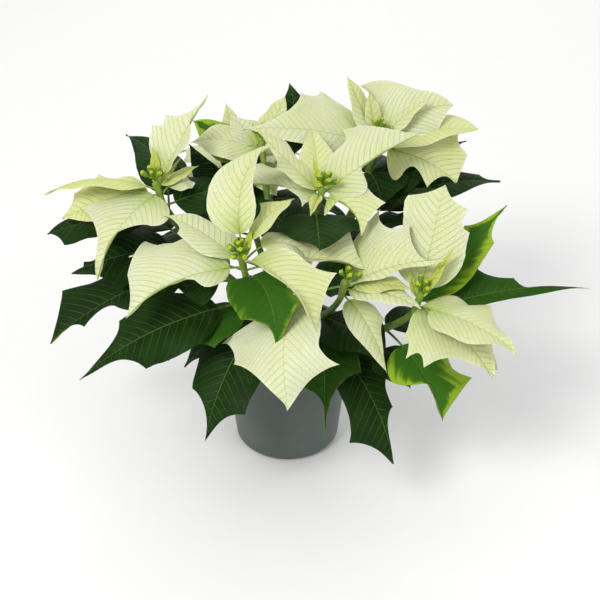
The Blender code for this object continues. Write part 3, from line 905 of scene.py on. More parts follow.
class Spine:
    """The midrib of a blade from its root to its tip, with the frame that carries the two halves."""

    STEPS = 48
    DROOP_BEND, SWEEP_BEND = 1.3, 1.5  # how far out along the blade each bend gathers

    def __init__(self, blade: Blade, root: Array) -> None:
        """Bend the midrib from its root on the stem to its tip.

        Args:
            blade: The leaf or bract.
            root: Where it grows from.
        """
        self.blade = blade
        self.total = blade.petiole + blade.length
        x = np.linspace(0.0, 1.0, self.STEPS + 1)
        rise = np.radians(blade.lift - blade.droop * x**self.DROOP_BEND)
        turn = np.radians(blade.turn + blade.sweep * x**self.SWEEP_BEND)
        along = np.stack([np.cos(rise) * np.cos(turn), np.cos(rise) * np.sin(turn), np.sin(rise)], 1)
        mids = (along[1:] + along[:-1]) / 2
        self.points = np.vstack([np.zeros(3), np.cumsum(mids, 0) * self.total / self.STEPS]) + root
        level = np.stack([np.sin(turn), -np.cos(turn), np.zeros_like(turn)], 1)
        upright = np.cross(level, along)
        roll = np.radians(blade.roll + blade.twist * x)[:, None]
        self.across = np.cos(roll) * level + np.sin(roll) * upright
        self.normal = -np.sin(roll) * level + np.cos(roll) * upright
        self.x = x

    def at(self, s: Array) -> tuple[Array, Array, Array]:
        """The midrib and its frame, where the petiole runs below 0.

        Args:
            s: Places along the blade, of any shape.

        Returns:
            Points, directions across and normals, with one more axis than s.
        """
        x = (self.blade.petiole + s * self.blade.length) / self.total
        found = []
        for rows in (self.points, self.across, self.normal):
            found.append(np.stack([np.interp(x, self.x, rows[:, i]) for i in range(3)], -1))
        for rows in found[1:]:
            rows /= np.linalg.norm(rows, axis=-1, keepdims=True)
        return found[0], found[1], found[2]

    def surface(self, s: Array, w: Array) -> Pair:
        """The blade's middle surface: each half is folded up from the midrib and curled.

        Args:
            s: Places along the blade.
            w: Distances to the right of the midrib.

        Returns:
            Points and normals.
        """
        point, across, normal = self.at(s)
        side = np.sign(w)[..., None]
        reach = np.abs(w)[..., None]
        start = math.radians(self.blade.fold)
        bend = math.radians(self.blade.curl) / (self.blade.width / 2)
        mean = start + bend * reach / 2
        end = start + bend * reach
        place = point + across * side * reach * np.cos(mean) + normal * reach * np.sin(mean)
        return place, normal * np.cos(end) - across * side * np.sin(end)


@dataclass(frozen=True)
class BladeSkin:
    """How finely blades are drawn, and the relief that their veins give them."""

    rows: int = 58
    spacing: tuple[float, float] = (0.8, 0.2)  # shares of even and of crowded spacing
    shares: tuple[float, ...] = (0.05, 0.12, 0.21, 0.31, 0.42, 0.53, 0.64, 0.75, 0.86, 0.94, 1.0)
    base_places: tuple[float, ...] = (0.0, 0.0015, 0.005)
    least_half: float = 0.2
    middle_thickness: float = 0.5
    margin_thickness: float = 0.22
    vein_gap: float = 8.0
    vein_slope: float = 0.62
    vein_bend: float = 1.1
    full_width: float = 50.0  # narrower blades have less relief
    quilting: float = 0.75
    cushion: float = 0.7
    rib_ease: float = 0.25
    tip_ease: float = 0.2
    groove: float = 0.35
    groove_half: float = 1.6
    wave: float = 0.030
    waves: float = 2.2
    wave_ease: float = 0.15
    ragged: float = 0.012
    ripples: tuple[float, ...] = (23.0, 41.0, 67.0)
    pattern_span: float = 400.0  # range of the place from which a blade's finish is read


SKINS = {
    Growth.LEAF: BladeSkin(),
    Growth.BRACT: BladeSkin(vein_gap=6.5, quilting=0.8, vein_slope=0.7, wave=0.034, middle_thickness=0.4),
}


@dataclass
class Sheet:
    """A closed thin mesh before it joins a piece."""

    points: Array
    faces: Array
    rim: Array
    values: dict[str, Array]


def sheet_faces(rows: int, columns: int) -> Array:
    """The faces of two grids, one over the other, and of the rim that joins them.

    Args:
        rows: Points along the grid.
        columns: Points across it.

    Returns:
        Corner numbers, four to a face, all facing outwards.
    """
    grid = np.arange(rows * columns).reshape(rows, columns)
    a, b, c, d = grid[:-1, :-1], grid[:-1, 1:], grid[1:, 1:], grid[1:, :-1]
    upper = np.stack([a, b, c, d], -1).reshape(-1, 4)
    lower = upper[:, ::-1] + rows * columns
    loop = np.concatenate([grid[0, :-1], grid[:-1, -1], grid[-1, :0:-1], grid[:0:-1, 0]])
    following = np.roll(loop, -1)
    under = rows * columns
    rim = np.stack([following, loop, loop + under, following + under], -1)
    return np.vstack([upper, lower, rim])


def rim_flags(rows: int, columns: int) -> Array:
    """Which points lie on the outline of a sheet's two grids.

    Args:
        rows: Points along the grid.
        columns: Points across it.

    Returns:
        One flag a point.
    """
    grid = np.zeros((rows, columns), bool)
    grid[[0, -1], :] = True
    grid[:, [0, -1]] = True
    return np.tile(grid.ravel(), 2)


class BladeMesh:
    """The fine mesh of one blade: two faces with relief, joined by a thin rim."""

    PHASE_LIFT = 20.0  # whole steps that keep the side veins' phase above 0
    LEAST_VEINS = 3

    def __init__(self, blade: Blade, root: Array, skin: BladeSkin, seed: int) -> None:
        """Take up one blade.

        Args:
            blade: The leaf or bract.
            root: Where it grows from.
            skin: How it is drawn.
            seed: For its small irregularities.
        """
        self.blade = blade
        self.skin = skin
        self.spine = Spine(blade, root)
        self.rng = np.random.default_rng(seed)
        self.veins = max(round(blade.length / skin.vein_gap), self.LEAST_VEINS)

    def places(self, teeth: Rows) -> Array:
        """Where along the blade one side's margin points lie, with one on the point of each tooth.

        Args:
            teeth: The side's teeth.

        Returns:
            Rising places from 0 to 1, as many as the skin has rows.
        """
        fixed = list(self.skin.base_places) + [tooth[0] for tooth in teeth]
        spare = self.skin.rows - len(fixed)
        x = np.linspace(0.0, 1.0, spare + 1)[1:]
        even, crowded = self.skin.spacing
        spread = even * x + crowded * (1.0 - np.cos(math.pi * x)) / 2
        return np.array(sorted(fixed + list(spread)))

    def margin(self, places: Array, teeth: Rows, lean: float) -> Array:
        """Half widths of one side, a little ragged.

        Args:
            places: Where along the blade.
            teeth: The side's teeth.
            lean: How much wider this side is.

        Returns:
            Half widths in millimetres.
        """
        half = np.array([OUTLINE.toothed(s, teeth) for s in places]) * self.blade.width / 2 * (1.0 + lean)
        ripples = self.skin.ripples
        phases = self.rng.uniform(0.0, 2 * math.pi, len(ripples))
        ripple = sum(np.sin(places * f + p) for f, p in zip(ripples, phases)) / len(ripples)
        return np.maximum(half * (1.0 + self.skin.ragged * ripple), self.skin.least_half)

    def vein_phase(self, s: Array, w: Array) -> Array:
        """A number that is whole on each side vein, which leaves the midrib and bends to the tip.

        Args:
            s: Places along the blade.
            w: Distances to the right of the midrib.

        Returns:
            The phase, half a step apart on the two sides.
        """
        out = np.abs(w) / self.blade.length
        turn = s - self.skin.vein_slope * out - self.skin.vein_bend * out**2
        return turn * self.veins + np.where(w < 0, 0.5, 0.0) + self.PHASE_LIFT

    def relief(self, s: Array, w: Array, t: Array) -> Array:
        """Height of the blade off its smooth surface: quilted between veins, waved at the margin.

        Args:
            s: Places along the blade.
            w: Distances to the right of the midrib.
            t: Share of the way from midrib to margin.

        Returns:
            Heights in millimetres.
        """
        skin = self.skin
        size = min(self.blade.width / skin.full_width, 1.0)
        cushion = np.abs(np.sin(math.pi * self.vein_phase(s, w))) ** skin.cushion
        tip_ease = np.clip((1.0 - s) / skin.tip_ease, 0.0, 1.0)
        middle = np.clip(t / skin.rib_ease, 0.0, 1.0) * (1.0 - t**4) * tip_ease
        groove = -skin.groove * np.exp(-((w / skin.groove_half) ** 2)) * (1.0 - s)
        phases = self.rng.uniform(0.0, 2 * math.pi, 2)
        swing = np.sin(2 * math.pi * skin.waves * s + np.where(w < 0, *phases))
        wave = skin.wave * self.blade.width * t**2 * swing * np.clip(s / skin.wave_ease, 0.0, 1.0)
        return size * skin.quilting * cushion * middle + groove + wave

    def build(self) -> Sheet:
        """Draw the blade.

        Returns:
            Its points, faces and what its points carry.
        """
        blade, skin = self.blade, self.skin
        left, right = self.places(blade.left), self.places(blade.right)
        wide_left = self.margin(left, blade.left, blade.lean)
        wide_right = self.margin(right, blade.right, -blade.lean)
        mid = (left + right) / 2
        shares = np.array(skin.shares)
        s = np.hstack([
            mid[:, None] + (left - mid)[:, None] * shares[::-1],
            mid[:, None],
            mid[:, None] + (right - mid)[:, None] * shares,
        ])
        middle = np.zeros((len(mid), 1))
        w = np.hstack([-wide_left[:, None] * shares[::-1], middle, wide_right[:, None] * shares])
        t = np.broadcast_to(np.concatenate([shares[::-1], [0.0], shares]), s.shape)
        point, normal = self.spine.surface(s, w)
        lifted = point + normal * self.relief(s, w, t)[..., None]
        thick = skin.middle_thickness + (skin.margin_thickness - skin.middle_thickness) * t
        half = (normal * thick[..., None]) / 2
        rows, columns = s.shape
        points = np.vstack([(lifted + half).reshape(-1, 3), (lifted - half).reshape(-1, 3)])
        chance = np.full_like(s, self.rng.uniform(0.0, skin.pattern_span))
        place = np.stack([s * blade.length, w, chance], -1)
        vein = np.stack([self.vein_phase(s, w), t, s], -1)
        flat = np.full_like(s, 1.0)
        tone_top = np.stack([flat * blade.tone, flat * blade.rim, flat * 0.0], -1)
        tone_under = np.stack([flat * blade.tone, flat * blade.rim, flat], -1)
        return Sheet(
            points=points,
            faces=sheet_faces(rows, columns),
            rim=rim_flags(rows, columns),
            values={
                "leaf_place": np.vstack([place.reshape(-1, 3)] * 2),
                "vein": np.vstack([vein.reshape(-1, 3)] * 2),
                "tone": np.vstack([tone_top.reshape(-1, 3), tone_under.reshape(-1, 3)]),
            },
        )


def join_sheets(name: str, sheets: list[Sheet], material: Material) -> Mesh:
    """One mesh from many sheets, with crisp rims and the values that the finish reads.

    Args:
        name: What the mesh is called.
        sheets: The sheets.
        material: Their finish.

    Returns:
        The mesh, in metres.
    """
    points = np.vstack([sheet.points for sheet in sheets]) * MM
    starts = np.cumsum([0] + [len(sheet.points) for sheet in sheets[:-1]])
    faces = np.vstack([sheet.faces + start for sheet, start in zip(sheets, starts)])
    mesh = bpy.data.meshes.new(name)
    mesh.from_pydata(points.tolist(), [], faces.tolist(), shade_flat=False)
    for key in sheets[0].values:
        rows = np.vstack([sheet.values[key] for sheet in sheets])
        mesh.attributes.new(key, "FLOAT_VECTOR", "POINT").data.foreach_set("vector", rows.ravel())
    rim = np.concatenate([sheet.rim for sheet in sheets])
    ends = np.empty(len(mesh.edges) * 2, int)
    mesh.edges.foreach_get("vertices", ends)
    sharp = rim[ends].reshape(-1, 2).all(axis=1)
    mesh.attributes.new("sharp_edge", "BOOLEAN", "EDGE").data.foreach_set("value", sharp)
    mesh.materials.append(material)
    return mesh


# Finishes of the plant


class Finish(ABC):
    """A finish that can be made into a material."""

    @abstractmethod
    def material(self) -> Material:
        """Make the material.

        Returns:
            The finished material.
        """


@dataclass(frozen=True)
class VeinLines:
    """The lines that a blade's midrib, side veins and finest veins draw, and how deep they lie."""

    broad: float = 0.068  # half width of a side vein at the midrib, in steps from vein to vein
    fine: float = 0.028  # the same at the margin
    core: float = 0.3  # the part of it that shows in full
    rib: float = 0.80  # half width of the midrib at its base, in millimetres
    rib_tip: float = 0.25
    rib_core: float = 0.5
    side_mark: float = 0.60  # how strongly the side veins show
    net_scale: float = 0.34  # cells of the finest veins to a millimetre
    net_edge: float = 0.11
    net_mark: float = 0.05
    net_depth: float = 0.35  # as a share of the side veins' depth
    pore_scale: float = 1.6
    pore_depth: float = 0.2
    depth: float = 0.32  # of the whole relief, in millimetres
    streak_count: float = 1.0  # streaks to a side vein
    streak_scale: float = 1.3

    def draw(self, tree: ShaderTree) -> tuple[Socket, Socket]:
        """Draw the lines.

        Args:
            tree: The material under construction.

        Returns:
            Masks of the side veins and of the midrib.
        """
        _, across, _ = tree.parts(tree.attribute("leaf_place"))
        phase, share, along = tree.parts(tree.attribute("vein"))
        off = tree.math("PINGPONG", phase, 0.5)
        breadth = tree.fade(share, 0.0, 0.9, self.broad, self.fine)
        sides = tree.fade(off, tree.times(breadth, self.core), breadth, 1.0, 0.0)
        reach = tree.fade(along, 0.0, 1.0, self.rib, self.rib_tip)
        distance = tree.math("ABSOLUTE", across)
        rib = tree.fade(distance, tree.times(reach, self.rib_core), reach, 1.0, 0.0)
        return sides, rib

    def press(self, tree: ShaderTree, place: Socket) -> tuple[Socket, Socket]:
        """Draw the lines with the net of finest veins, and sink them into the skin.

        Args:
            tree: The material under construction.
            place: The place on the blade.

        Returns:
            Masks of all the side veins and of the midrib.
        """
        sides, rib = self.draw(tree)
        net = tree.net(place, self.net_scale, self.net_edge)
        marks = tree.larger(tree.times(sides, self.side_mark), tree.times(net, self.net_mark))
        hollow = tree.minus(1.0, tree.larger(sides, tree.times(net, self.net_depth)))
        pores = tree.times(tree.noise(place, self.pore_scale, 2.0), self.pore_depth)
        tree.relief(tree.plus(hollow, pores), self.depth)
        return marks, rib

    def streaks(self, tree: ShaderTree) -> Socket:
        """Soft streaks that run out from the midrib between the veins.

        Args:
            tree: The material under construction.

        Returns:
            The pattern's socket, between 0 and 1.
        """
        phase, share, _ = tree.parts(tree.attribute("vein"))
        _, _, chance = tree.parts(tree.attribute("leaf_place"))
        join = tree.node("ShaderNodeCombineXYZ")
        tree.feed(join.inputs[0], tree.times(phase, self.streak_count))
        tree.feed(join.inputs[1], tree.times(share, self.streak_scale))
        tree.feed(join.inputs[2], chance)
        return tree.patches(join.outputs[0], 1.0, 0.3, 0.7)


@dataclass(frozen=True)
class LeafFinish(Finish):
    """Green leaf skin: dark or bright, with paler veins, a fine net between them and a satin gloss."""

    name: str = "leaf_skin"
    dark: Colour = (0.0026, 0.0115, 0.0014)
    bright: Colour = (0.050, 0.190, 0.0075)
    rim_colour: Colour = (0.26, 0.40, 0.022)
    vein: Colour = (0.078, 0.165, 0.032)
    underside: Colour = (0.042, 0.092, 0.024)
    lighter: float = 0.22
    mottling: float = 0.28
    rib_share: float = 0.85
    under_share: float = 0.6
    gloss: float = 0.10
    lines: VeinLines = VeinLines()

    def margin(self, tree: ShaderTree, rim: object, streak: object) -> Socket:
        """The yellow-green margin of a young leaf, which runs in along its streaks; on the front head's leaf
        a it is painted light, for a lit, translucent edge.

        Args:
            tree: The material under construction.
            rim: How broad the margin is, 0 for a leaf that has none.
            streak: The pattern of streaks.

        Returns:
            The margin's mask.
        """
        _, share, along = tree.parts(tree.attribute("vein"))
        outer = tree.plus(tree.times(share, 0.75), tree.times(along, 0.45))
        outer = tree.plus(outer, tree.times(tree.minus(streak, 0.5), 0.22))
        start = tree.minus(1.02, tree.times(rim, 0.55))
        band = tree.fade(outer, start, tree.plus(start, 0.42))
        return tree.times(band, tree.times(rim, 1.5), limit=True)

    def material(self) -> Material:
        """Make the material.

        Returns:
            The finished material.
        """
        tree = ShaderTree(self.name)
        place = tree.attribute("leaf_place")
        tone, rim, under = tree.parts(tree.attribute("tone"))
        streak = self.lines.streaks(tree)
        base = tree.blend(tone, self.dark, self.bright)
        lighter = tree.blend(self.lighter, base, self.bright)
        mottled = tree.times(tree.plus(tree.patches(place, 0.045, 0.35, 0.7), streak), self.mottling)
        base = tree.blend(mottled, base, lighter)
        margin = self.margin(tree, rim, streak)
        base = tree.blend(margin, base, self.rim_colour)
        marks, midrib = self.lines.press(tree, place)
        quiet = tree.minus(1.0, tree.times(margin, 0.8))
        base = tree.blend(tree.times(marks, quiet), base, self.vein)
        base = tree.blend(tree.times(midrib, self.rib_share), base, self.vein)
        base = tree.blend(tree.times(under, self.under_share), base, self.underside)
        rough = tree.fade(tree.noise(place, 0.25, 2.0), 0.2, 0.8, 0.42, 0.56)
        return tree.finish(base, roughness=rough, specular_ior_level=self.gloss)


@dataclass(frozen=True)
class BractFinish(Finish):
    """Cream bract skin: close fine veins, yellow-green towards base and rib, a lit rim, thin and soft."""

    name: str = "bract_skin"
    cream: Colour = (0.70, 0.74, 0.49)
    yellow: Colour = (0.66, 0.695, 0.26)
    lime: Colour = (0.48, 0.56, 0.045)
    vein: Colour = (0.44, 0.53, 0.19)
    heart: Colour = (0.36, 0.50, 0.06)
    # pale: painted rim light, the lighter colour that a bract's edge gets so that it looks lit
    pale: Colour = (0.79, 0.82, 0.62)
    streak_share: float = 0.10
    rib_green: float = 0.42
    rib_more: float = 0.55
    gloss: float = 0.25
    glow: float = 0.15
    glow_radius: Colour = (0.0022, 0.0022, 0.0008)
    lines: VeinLines = VeinLines(
        broad=0.095, fine=0.045, rib=0.8, rib_tip=0.3, side_mark=0.34, net_scale=0.42, net_edge=0.12,
        net_mark=0.12, net_depth=0.4, pore_scale=1.4, depth=0.45, streak_count=2.0,
    )

    def ground(self, tree: ShaderTree, place: object, tone: object) -> Socket:
        """The skin's colour under its veins: cream to lime by its tone, with painted rim light that pales the
        rim.

        Args:
            tree: The material under construction.
            place: The place on the blade.
            tone: How far the bract is from cream.

        Returns:
            The colour's socket.
        """
        _, share, along = tree.parts(tree.attribute("vein"))
        patches = tree.fade(tree.noise(place, 0.035, 2.0), 0.3, 0.7, -0.08, 0.10)
        mix = tree.plus(tone, patches, limit=True)
        base = tree.blend(tree.times(mix, 2.0, limit=True), self.cream, self.yellow)
        past = tree.minus(tree.times(mix, 2.0), 1.0, limit=True)
        base = tree.blend(past, base, self.lime)
        # Painted rim light: the outer edge, most of all on cream bracts, is paled as if lit
        edge = tree.times(tree.fade(share, 0.8, 1.0), tree.fade(mix, 0.1, 0.6, 0.5, 0.1))
        base = tree.blend(edge, base, self.pale)
        near_rib = tree.fade(share, 0.0, 1.0, 0.75, 0.25)
        inner = tree.times(tree.fade(along, 0.0, 0.30, 1.0, 0.0), near_rib)
        return tree.blend(inner, base, self.heart)

    def material(self) -> Material:
        """Make the material.

        Returns:
            The finished material.
        """
        tree = ShaderTree(self.name)
        place = tree.attribute("leaf_place")
        tone, rim, _ = tree.parts(tree.attribute("tone"))
        base = self.ground(tree, place, tone)
        base = tree.blend(tree.times(self.lines.streaks(tree), self.streak_share), base, self.vein)
        marks, midrib = self.lines.press(tree, place)
        base = tree.blend(marks, base, self.vein)
        green = tree.plus(tree.times(rim, self.rib_more), self.rib_green)
        base = tree.blend(tree.times(midrib, green), base, self.heart)
        rough = tree.fade(tree.noise(place, 0.2, 2.0), 0.2, 0.8, 0.5, 0.65)
        return tree.finish(
            base, roughness=rough, specular_ior_level=self.gloss, subsurface_weight=self.glow,
            subsurface_radius=self.glow_radius, subsurface_scale=1.0,
        )


@dataclass(frozen=True)
class StalkFinish(Finish):
    """The skin of stems and stalks: green with paler mottling, a flush and small pores."""

    name: str
    green: Colour = (0.060, 0.130, 0.018)
    pale: Colour = (0.14, 0.22, 0.04)
    flush: Colour = (0.19, 0.24, 0.06)

    def material(self) -> Material:
        """Make the material.

        Returns:
            The finished material.
        """
        tree = ShaderTree(self.name)
        place = tree.object_place()
        streaks = tree.patches(place, 260.0, 0.3, 0.7, 3.0)
        base = tree.blend(streaks, self.green, self.pale)
        base = tree.blend(tree.times(tree.patches(place, 35.0, 0.45, 0.75), 0.5), base, self.flush)
        pores = tree.dots(place, 520.0, 0.10, 0.22)
        base = tree.blend(tree.times(pores, 0.4), base, self.pale)
        tree.relief(tree.plus(streaks, pores), 0.15)
        return tree.finish(base, roughness=0.48, specular_ior_level=0.3)


@dataclass(frozen=True)
class PodFinish(Finish):
    """The skin of the cyathia: bright green cups with yellow lips and tips."""

    name: str = "cyathia_skin"
    green: Colour = (0.085, 0.20, 0.010)
    light: Colour = (0.22, 0.38, 0.025)
    lip: Colour = (0.50, 0.54, 0.03)
    glow: float = 0.1
    glow_radius: Colour = (0.001, 0.001, 0.0005)

    def material(self) -> Material:
        """Make the material.

        Returns:
            The finished material.
        """
        tree = ShaderTree(self.name)
        height, gland, _ = tree.parts(tree.attribute("pod"))
        place = tree.object_place()
        base = tree.blend(tree.fade(height, 0.3, 1.0), self.light, self.green)
        mottle = tree.patches(place, 700.0, 0.35, 0.7)
        base = tree.blend(tree.times(mottle, 0.35), base, self.light)
        base = tree.blend(gland, base, self.lip)
        tree.relief(mottle, 0.12)
        return tree.finish(
            base, roughness=0.42, specular_ior_level=0.3, subsurface_weight=self.glow,
            subsurface_radius=self.glow_radius, subsurface_scale=1.0,
        )


@dataclass(frozen=True)
class BarkFinish(Finish):
    """Young bark: green-brown, with fine cracks along the stem and pale pores."""

    name: str = "trunk_bark"
    green: Colour = (0.13, 0.15, 0.05)
    brown: Colour = (0.13, 0.085, 0.04)
    pore: Colour = (0.33, 0.28, 0.17)

    def material(self) -> Material:
        """Make the material.

        Returns:
            The finished material.
        """
        tree = ShaderTree(self.name)
        place = tree.object_place()
        base = tree.blend(tree.patches(place, 60.0, 0.35, 0.7, 3.0), self.green, self.brown)
        cracks = tree.net(tree.stretched(place, (1.0, 1.0, 0.25)), 600.0, 0.12)
        base = tree.blend(tree.times(cracks, 0.6), base, tuple(c * 0.4 for c in self.brown))
        pores = tree.dots(place, 330.0, 0.12, 0.2)
        base = tree.blend(tree.times(pores, 0.7), base, self.pore)
        tree.relief(tree.minus(pores, cracks), 0.3)
        return tree.finish(base, roughness=0.75)


HUB_FINISH = StalkFinish("hub_skin", (0.14, 0.25, 0.025), (0.28, 0.38, 0.06), (0.33, 0.39, 0.09))


# The plant


@dataclass(frozen=True)
class StemSizes:
    """Sizes of the trunk, the leafy stems, the hubs and the stalks."""

    trunk_radius: float = 6.0
    trunk_foot: float = 62.0
    trunk_top: float = 157.7
    stem_base: float = 3.6
    stem_tip: float = 2.7
    stem_sink: float = 2.0
    hub_length: float = 20.0
    hub_radius: float = 3.4
    hub_lean: float = 0.3
    hub_crown: float = 3.0
    crown_radius: float = 1.5
    bend_out: float = 0.72  # the corner that a leafy stem bends round, in shares of its own reach
    bend_up: float = 0.38
    stalk_root: float = 1.25
    stalk_neck: float = 1.0
    stalk_share: float = 0.8  # how stout a bract's stalk is beside a leaf's
    rib_tip: float = 0.22
    rib_taper: float = 0.8
    rib_end: float = 0.96
    rib_sink: float = 0.75
    rib_groove: float = 0.3
    rib_early: float = 0.06  # how far before the blade the stalk begins to sink under it
    rib_ease: float = 0.1
    petiole_end: float = -0.02
    petiole_rows: int = 7
    rib_rows: int = 15
    sides: int = 14
    stalk_sides: int = 8


SIZES = StemSizes()


@dataclass(frozen=True)
class Head:
    """Where a head stands, where its stem forks from the trunk, and the bracts and leaves they bear."""

    name: str
    top: Triple  # the top of the hub, where the cyathia sit
    fork: float  # height at which the stem leaves the trunk
    bracts: tuple[Blade, ...] = ()
    leaves: tuple[Blade, ...] = ()

    def axis(self) -> Array:
        """The hub's direction: it leans outwards, away from the pot's axis.

        Returns:
            A direction of length one.
        """
        x, y, _ = self.top
        reach = math.hypot(x, y)
        return unit((SIZES.hub_lean * x / reach, SIZES.hub_lean * y / reach, 1.0))

    def hub_point(self, below: float) -> Array:
        """A point of the hub's axis, this far below its top."""
        return np.array(self.top, float) - self.axis() * below

    def stem_point(self, share: float) -> Array:
        """A point on the stem, which leaves the trunk outwards and bends up into the hub.

        Args:
            share: How far along the stem, from 0 to 1.

        Returns:
            The point.
        """
        start = np.array((0.0, 0.0, self.fork))
        end = self.hub_point(SIZES.hub_length)
        out, up = SIZES.bend_out, SIZES.bend_up
        bend = np.array((out * end[0], out * end[1], self.fork + up * (end[2] - self.fork)))
        return (1 - share) ** 2 * start + 2 * share * (1 - share) * bend + share * share * end


TOOTHED = {"left": ((0.58, 1.10),), "right": ((0.52, 1.10),)}

# Blades: name, turn, lift, droop, length, width, petiole, low, then what differs from a plain one
LEFT = Head(
    "left", (-117, 17, 268), 140,
    bracts=(
        Blade("a", 40, 58, 15, 80, 49, 16, 5, sweep=-1, roll=9, twist=-15, fold=21, curl=7, lean=0.16,
              left=((0.4, 1.15), (0.57, 0.89)), right=((0.59, 0.41),), tone=0.14, rim=0.1),
        Blade("b", -125, 2, 71, 102, 71, 6, 9, roll=5, left=((0.35, 0.7),), right=((0.45, 1.35),),
              tone=0.1, rim=0.1),
        Blade("c", -169, 5, 35, 81, 54, 10, 11, roll=20, right=((0.5, 1.45), (0.8, 0.9)),
              tone=0.42, rim=0.1),
        Blade("d", -176, 25, 60, 96, 40, 10, 6, roll=-22, fold=-5, right=((0.65, 0.15),),
              tone=0.55, rim=0.2),
        Blade("e", 26, 21, 10, 39, 18, 4, 3, tone=0.6, rim=0.2),
        Blade("f", 35, 61, 130, 30, 40, 12, 14, tone=0.12),
        Blade("g", 105, 69, 5, 35, 10, 4, 6, tone=0.8, rim=0.2),
        Blade("h", 34, 46, 5, 31, 7, 4, 5, tone=0.8, rim=0.2),
    ),
    leaves=(
        Blade("a", -156, 2, 40, 139, 54, 30, 0.5, roll=20,
              left=((0.5, 0.4), (0.75, 0.45)), right=((0.75, 1.45),), tone=0.03),
        Blade("b", -159, 12, 30, 93, 60, 25, 0.65, roll=20, left=((0.65, 1.3),),
              right=((0.7, 0.4), (0.85, 0.15)), tone=0.02),
        Blade("c", -172, 8, 30, 94, 50, 20, 0.9, roll=10, left=((0.85, 0.85),), tone=0.05),
        Blade("d", 93, 25, 17, 93, 46, 20, 0.93, sweep=60, tone=0.06),
        Blade("e", 20, 16, 20, 51, 50, 10, 0.98, roll=-17, tone=0.05),
        Blade("f", -24, 16, 30, 40, 46, 10, 0.88, tone=0.1),
        Blade("g", 140, 12, 65, 105, 52, 25, 0.7, tone=0.1, **TOOTHED),
        Blade("h", 95, 12, 65, 95, 52, 25, 0.4, tone=0.12, **TOOTHED),
    ),
)
MIDDLE = Head(
    "middle", (32, -20, 282), 158,
    bracts=(
        Blade("b", 29, 26, 15, 102, 54, 6, 6, roll=-20, left=((0.55, 2.2), (0.65, 1.6)),
              right=((0.35, 0.25),), tone=0.14, rim=0.1),
        Blade("c", -25, 10, 67, 51, 51, 8, 8, sweep=-60, roll=-23, left=((0.65, 1.1),),
              right=((0.2, 0.25),), tone=0.3, rim=0.1),
        Blade("d", -110, -3, 30, 24, 13, 5, 4, fold=50, tone=0.6, rim=0.3),
        Blade("e", 174, 17, 25, 65, 46, 4, 6, roll=10, left=((0.15, 1.0),), right=((0.85, 1.9),),
              tone=0.1),
        Blade("f", 154, 37, 0, 74, 28, 5, 4, left=((0.5, 1.3),), right=((0.7, 1.9),),
              tone=0.24, rim=0.1),
        Blade("g", 96, 22, 0, 73, 34, 4, 4, fold=25, tone=0.28, rim=0.1),
        Blade("h", 113, 58, 0, 29, 7, 4, 5, tone=0.85, rim=0.3),
        Blade("i", 153, 30, 10, 43, 10, 4, 2, tone=0.8, rim=0.3),
    ),
    leaves=(
        Blade("a", -88, 12, 25, 61, 70, 8, 0.96, tone=0.1),
        Blade("b", 134, 31, 20, 51, 56, 20, 0.6, tone=0.06),
        Blade("c", -171, 26, 30, 30, 50, 15, 0.7, tone=0.06),
        Blade("d", -9, 42, 20, 45, 40, 20, 0.6, tone=0.05),
    ),
)
RIGHT = Head(
    "right", (114, -97, 222), 118,
    bracts=(
        Blade("b", 70, 49, 5, 93, 60, 10, 5, left=((0.85, 1.0),), right=((0.6, 1.0), (0.8, 0.85)),
              tone=0.12, rim=0.2),
        Blade("c", -39, -5, 50, 88, 84, 4, 12, right=((0.15, 1.1), (0.3, 1.3), (0.5, 1.25)),
              tone=0.2, rim=0.5),
        Blade("d", -35, 10, 37, 82, 61, 16, 12, roll=5, left=((0.35, 1.95),), tone=0.24, rim=0.2),
        Blade("e", -28, -6, 45, 72, 50, 16, 17, roll=-10, tone=0.3, rim=0.2),
        Blade("i", 14, 59, 0, 53, 14, 4, 6, tone=0.85, rim=0.2),
        Blade("j", 125, 58, 0, 22, 8, 4, 6, tone=0.85, rim=0.2),
    ),
    leaves=(
        Blade("a", 36, 33, 0, 115, 48, 25, 0.85, left=((0.7, 0.9),), right=((0.7, 0.7),),
              tone=0.8, rim=0.85),
        Blade("b", 6, 25, 37, 146, 41, 35, 0.75, roll=-30, lean=0.5, left=((0.35, 1.0), (0.55, 0.35)),
              tone=0.3, rim=0.1),
        Blade("c", -54, -6, 60, 76, 62, 25, 0.7, left=((0.7, 1.55),), right=((0.5, 0.4),),
              tone=0.65, rim=0.9),
        Blade("d", -53, -1, 50, 43, 46, 25, 0.55, tone=0.05, rim=0.1),
        Blade("e", 20, 12, 65, 100, 52, 25, 0.5, tone=0.1, **TOOTHED),
    ),
)
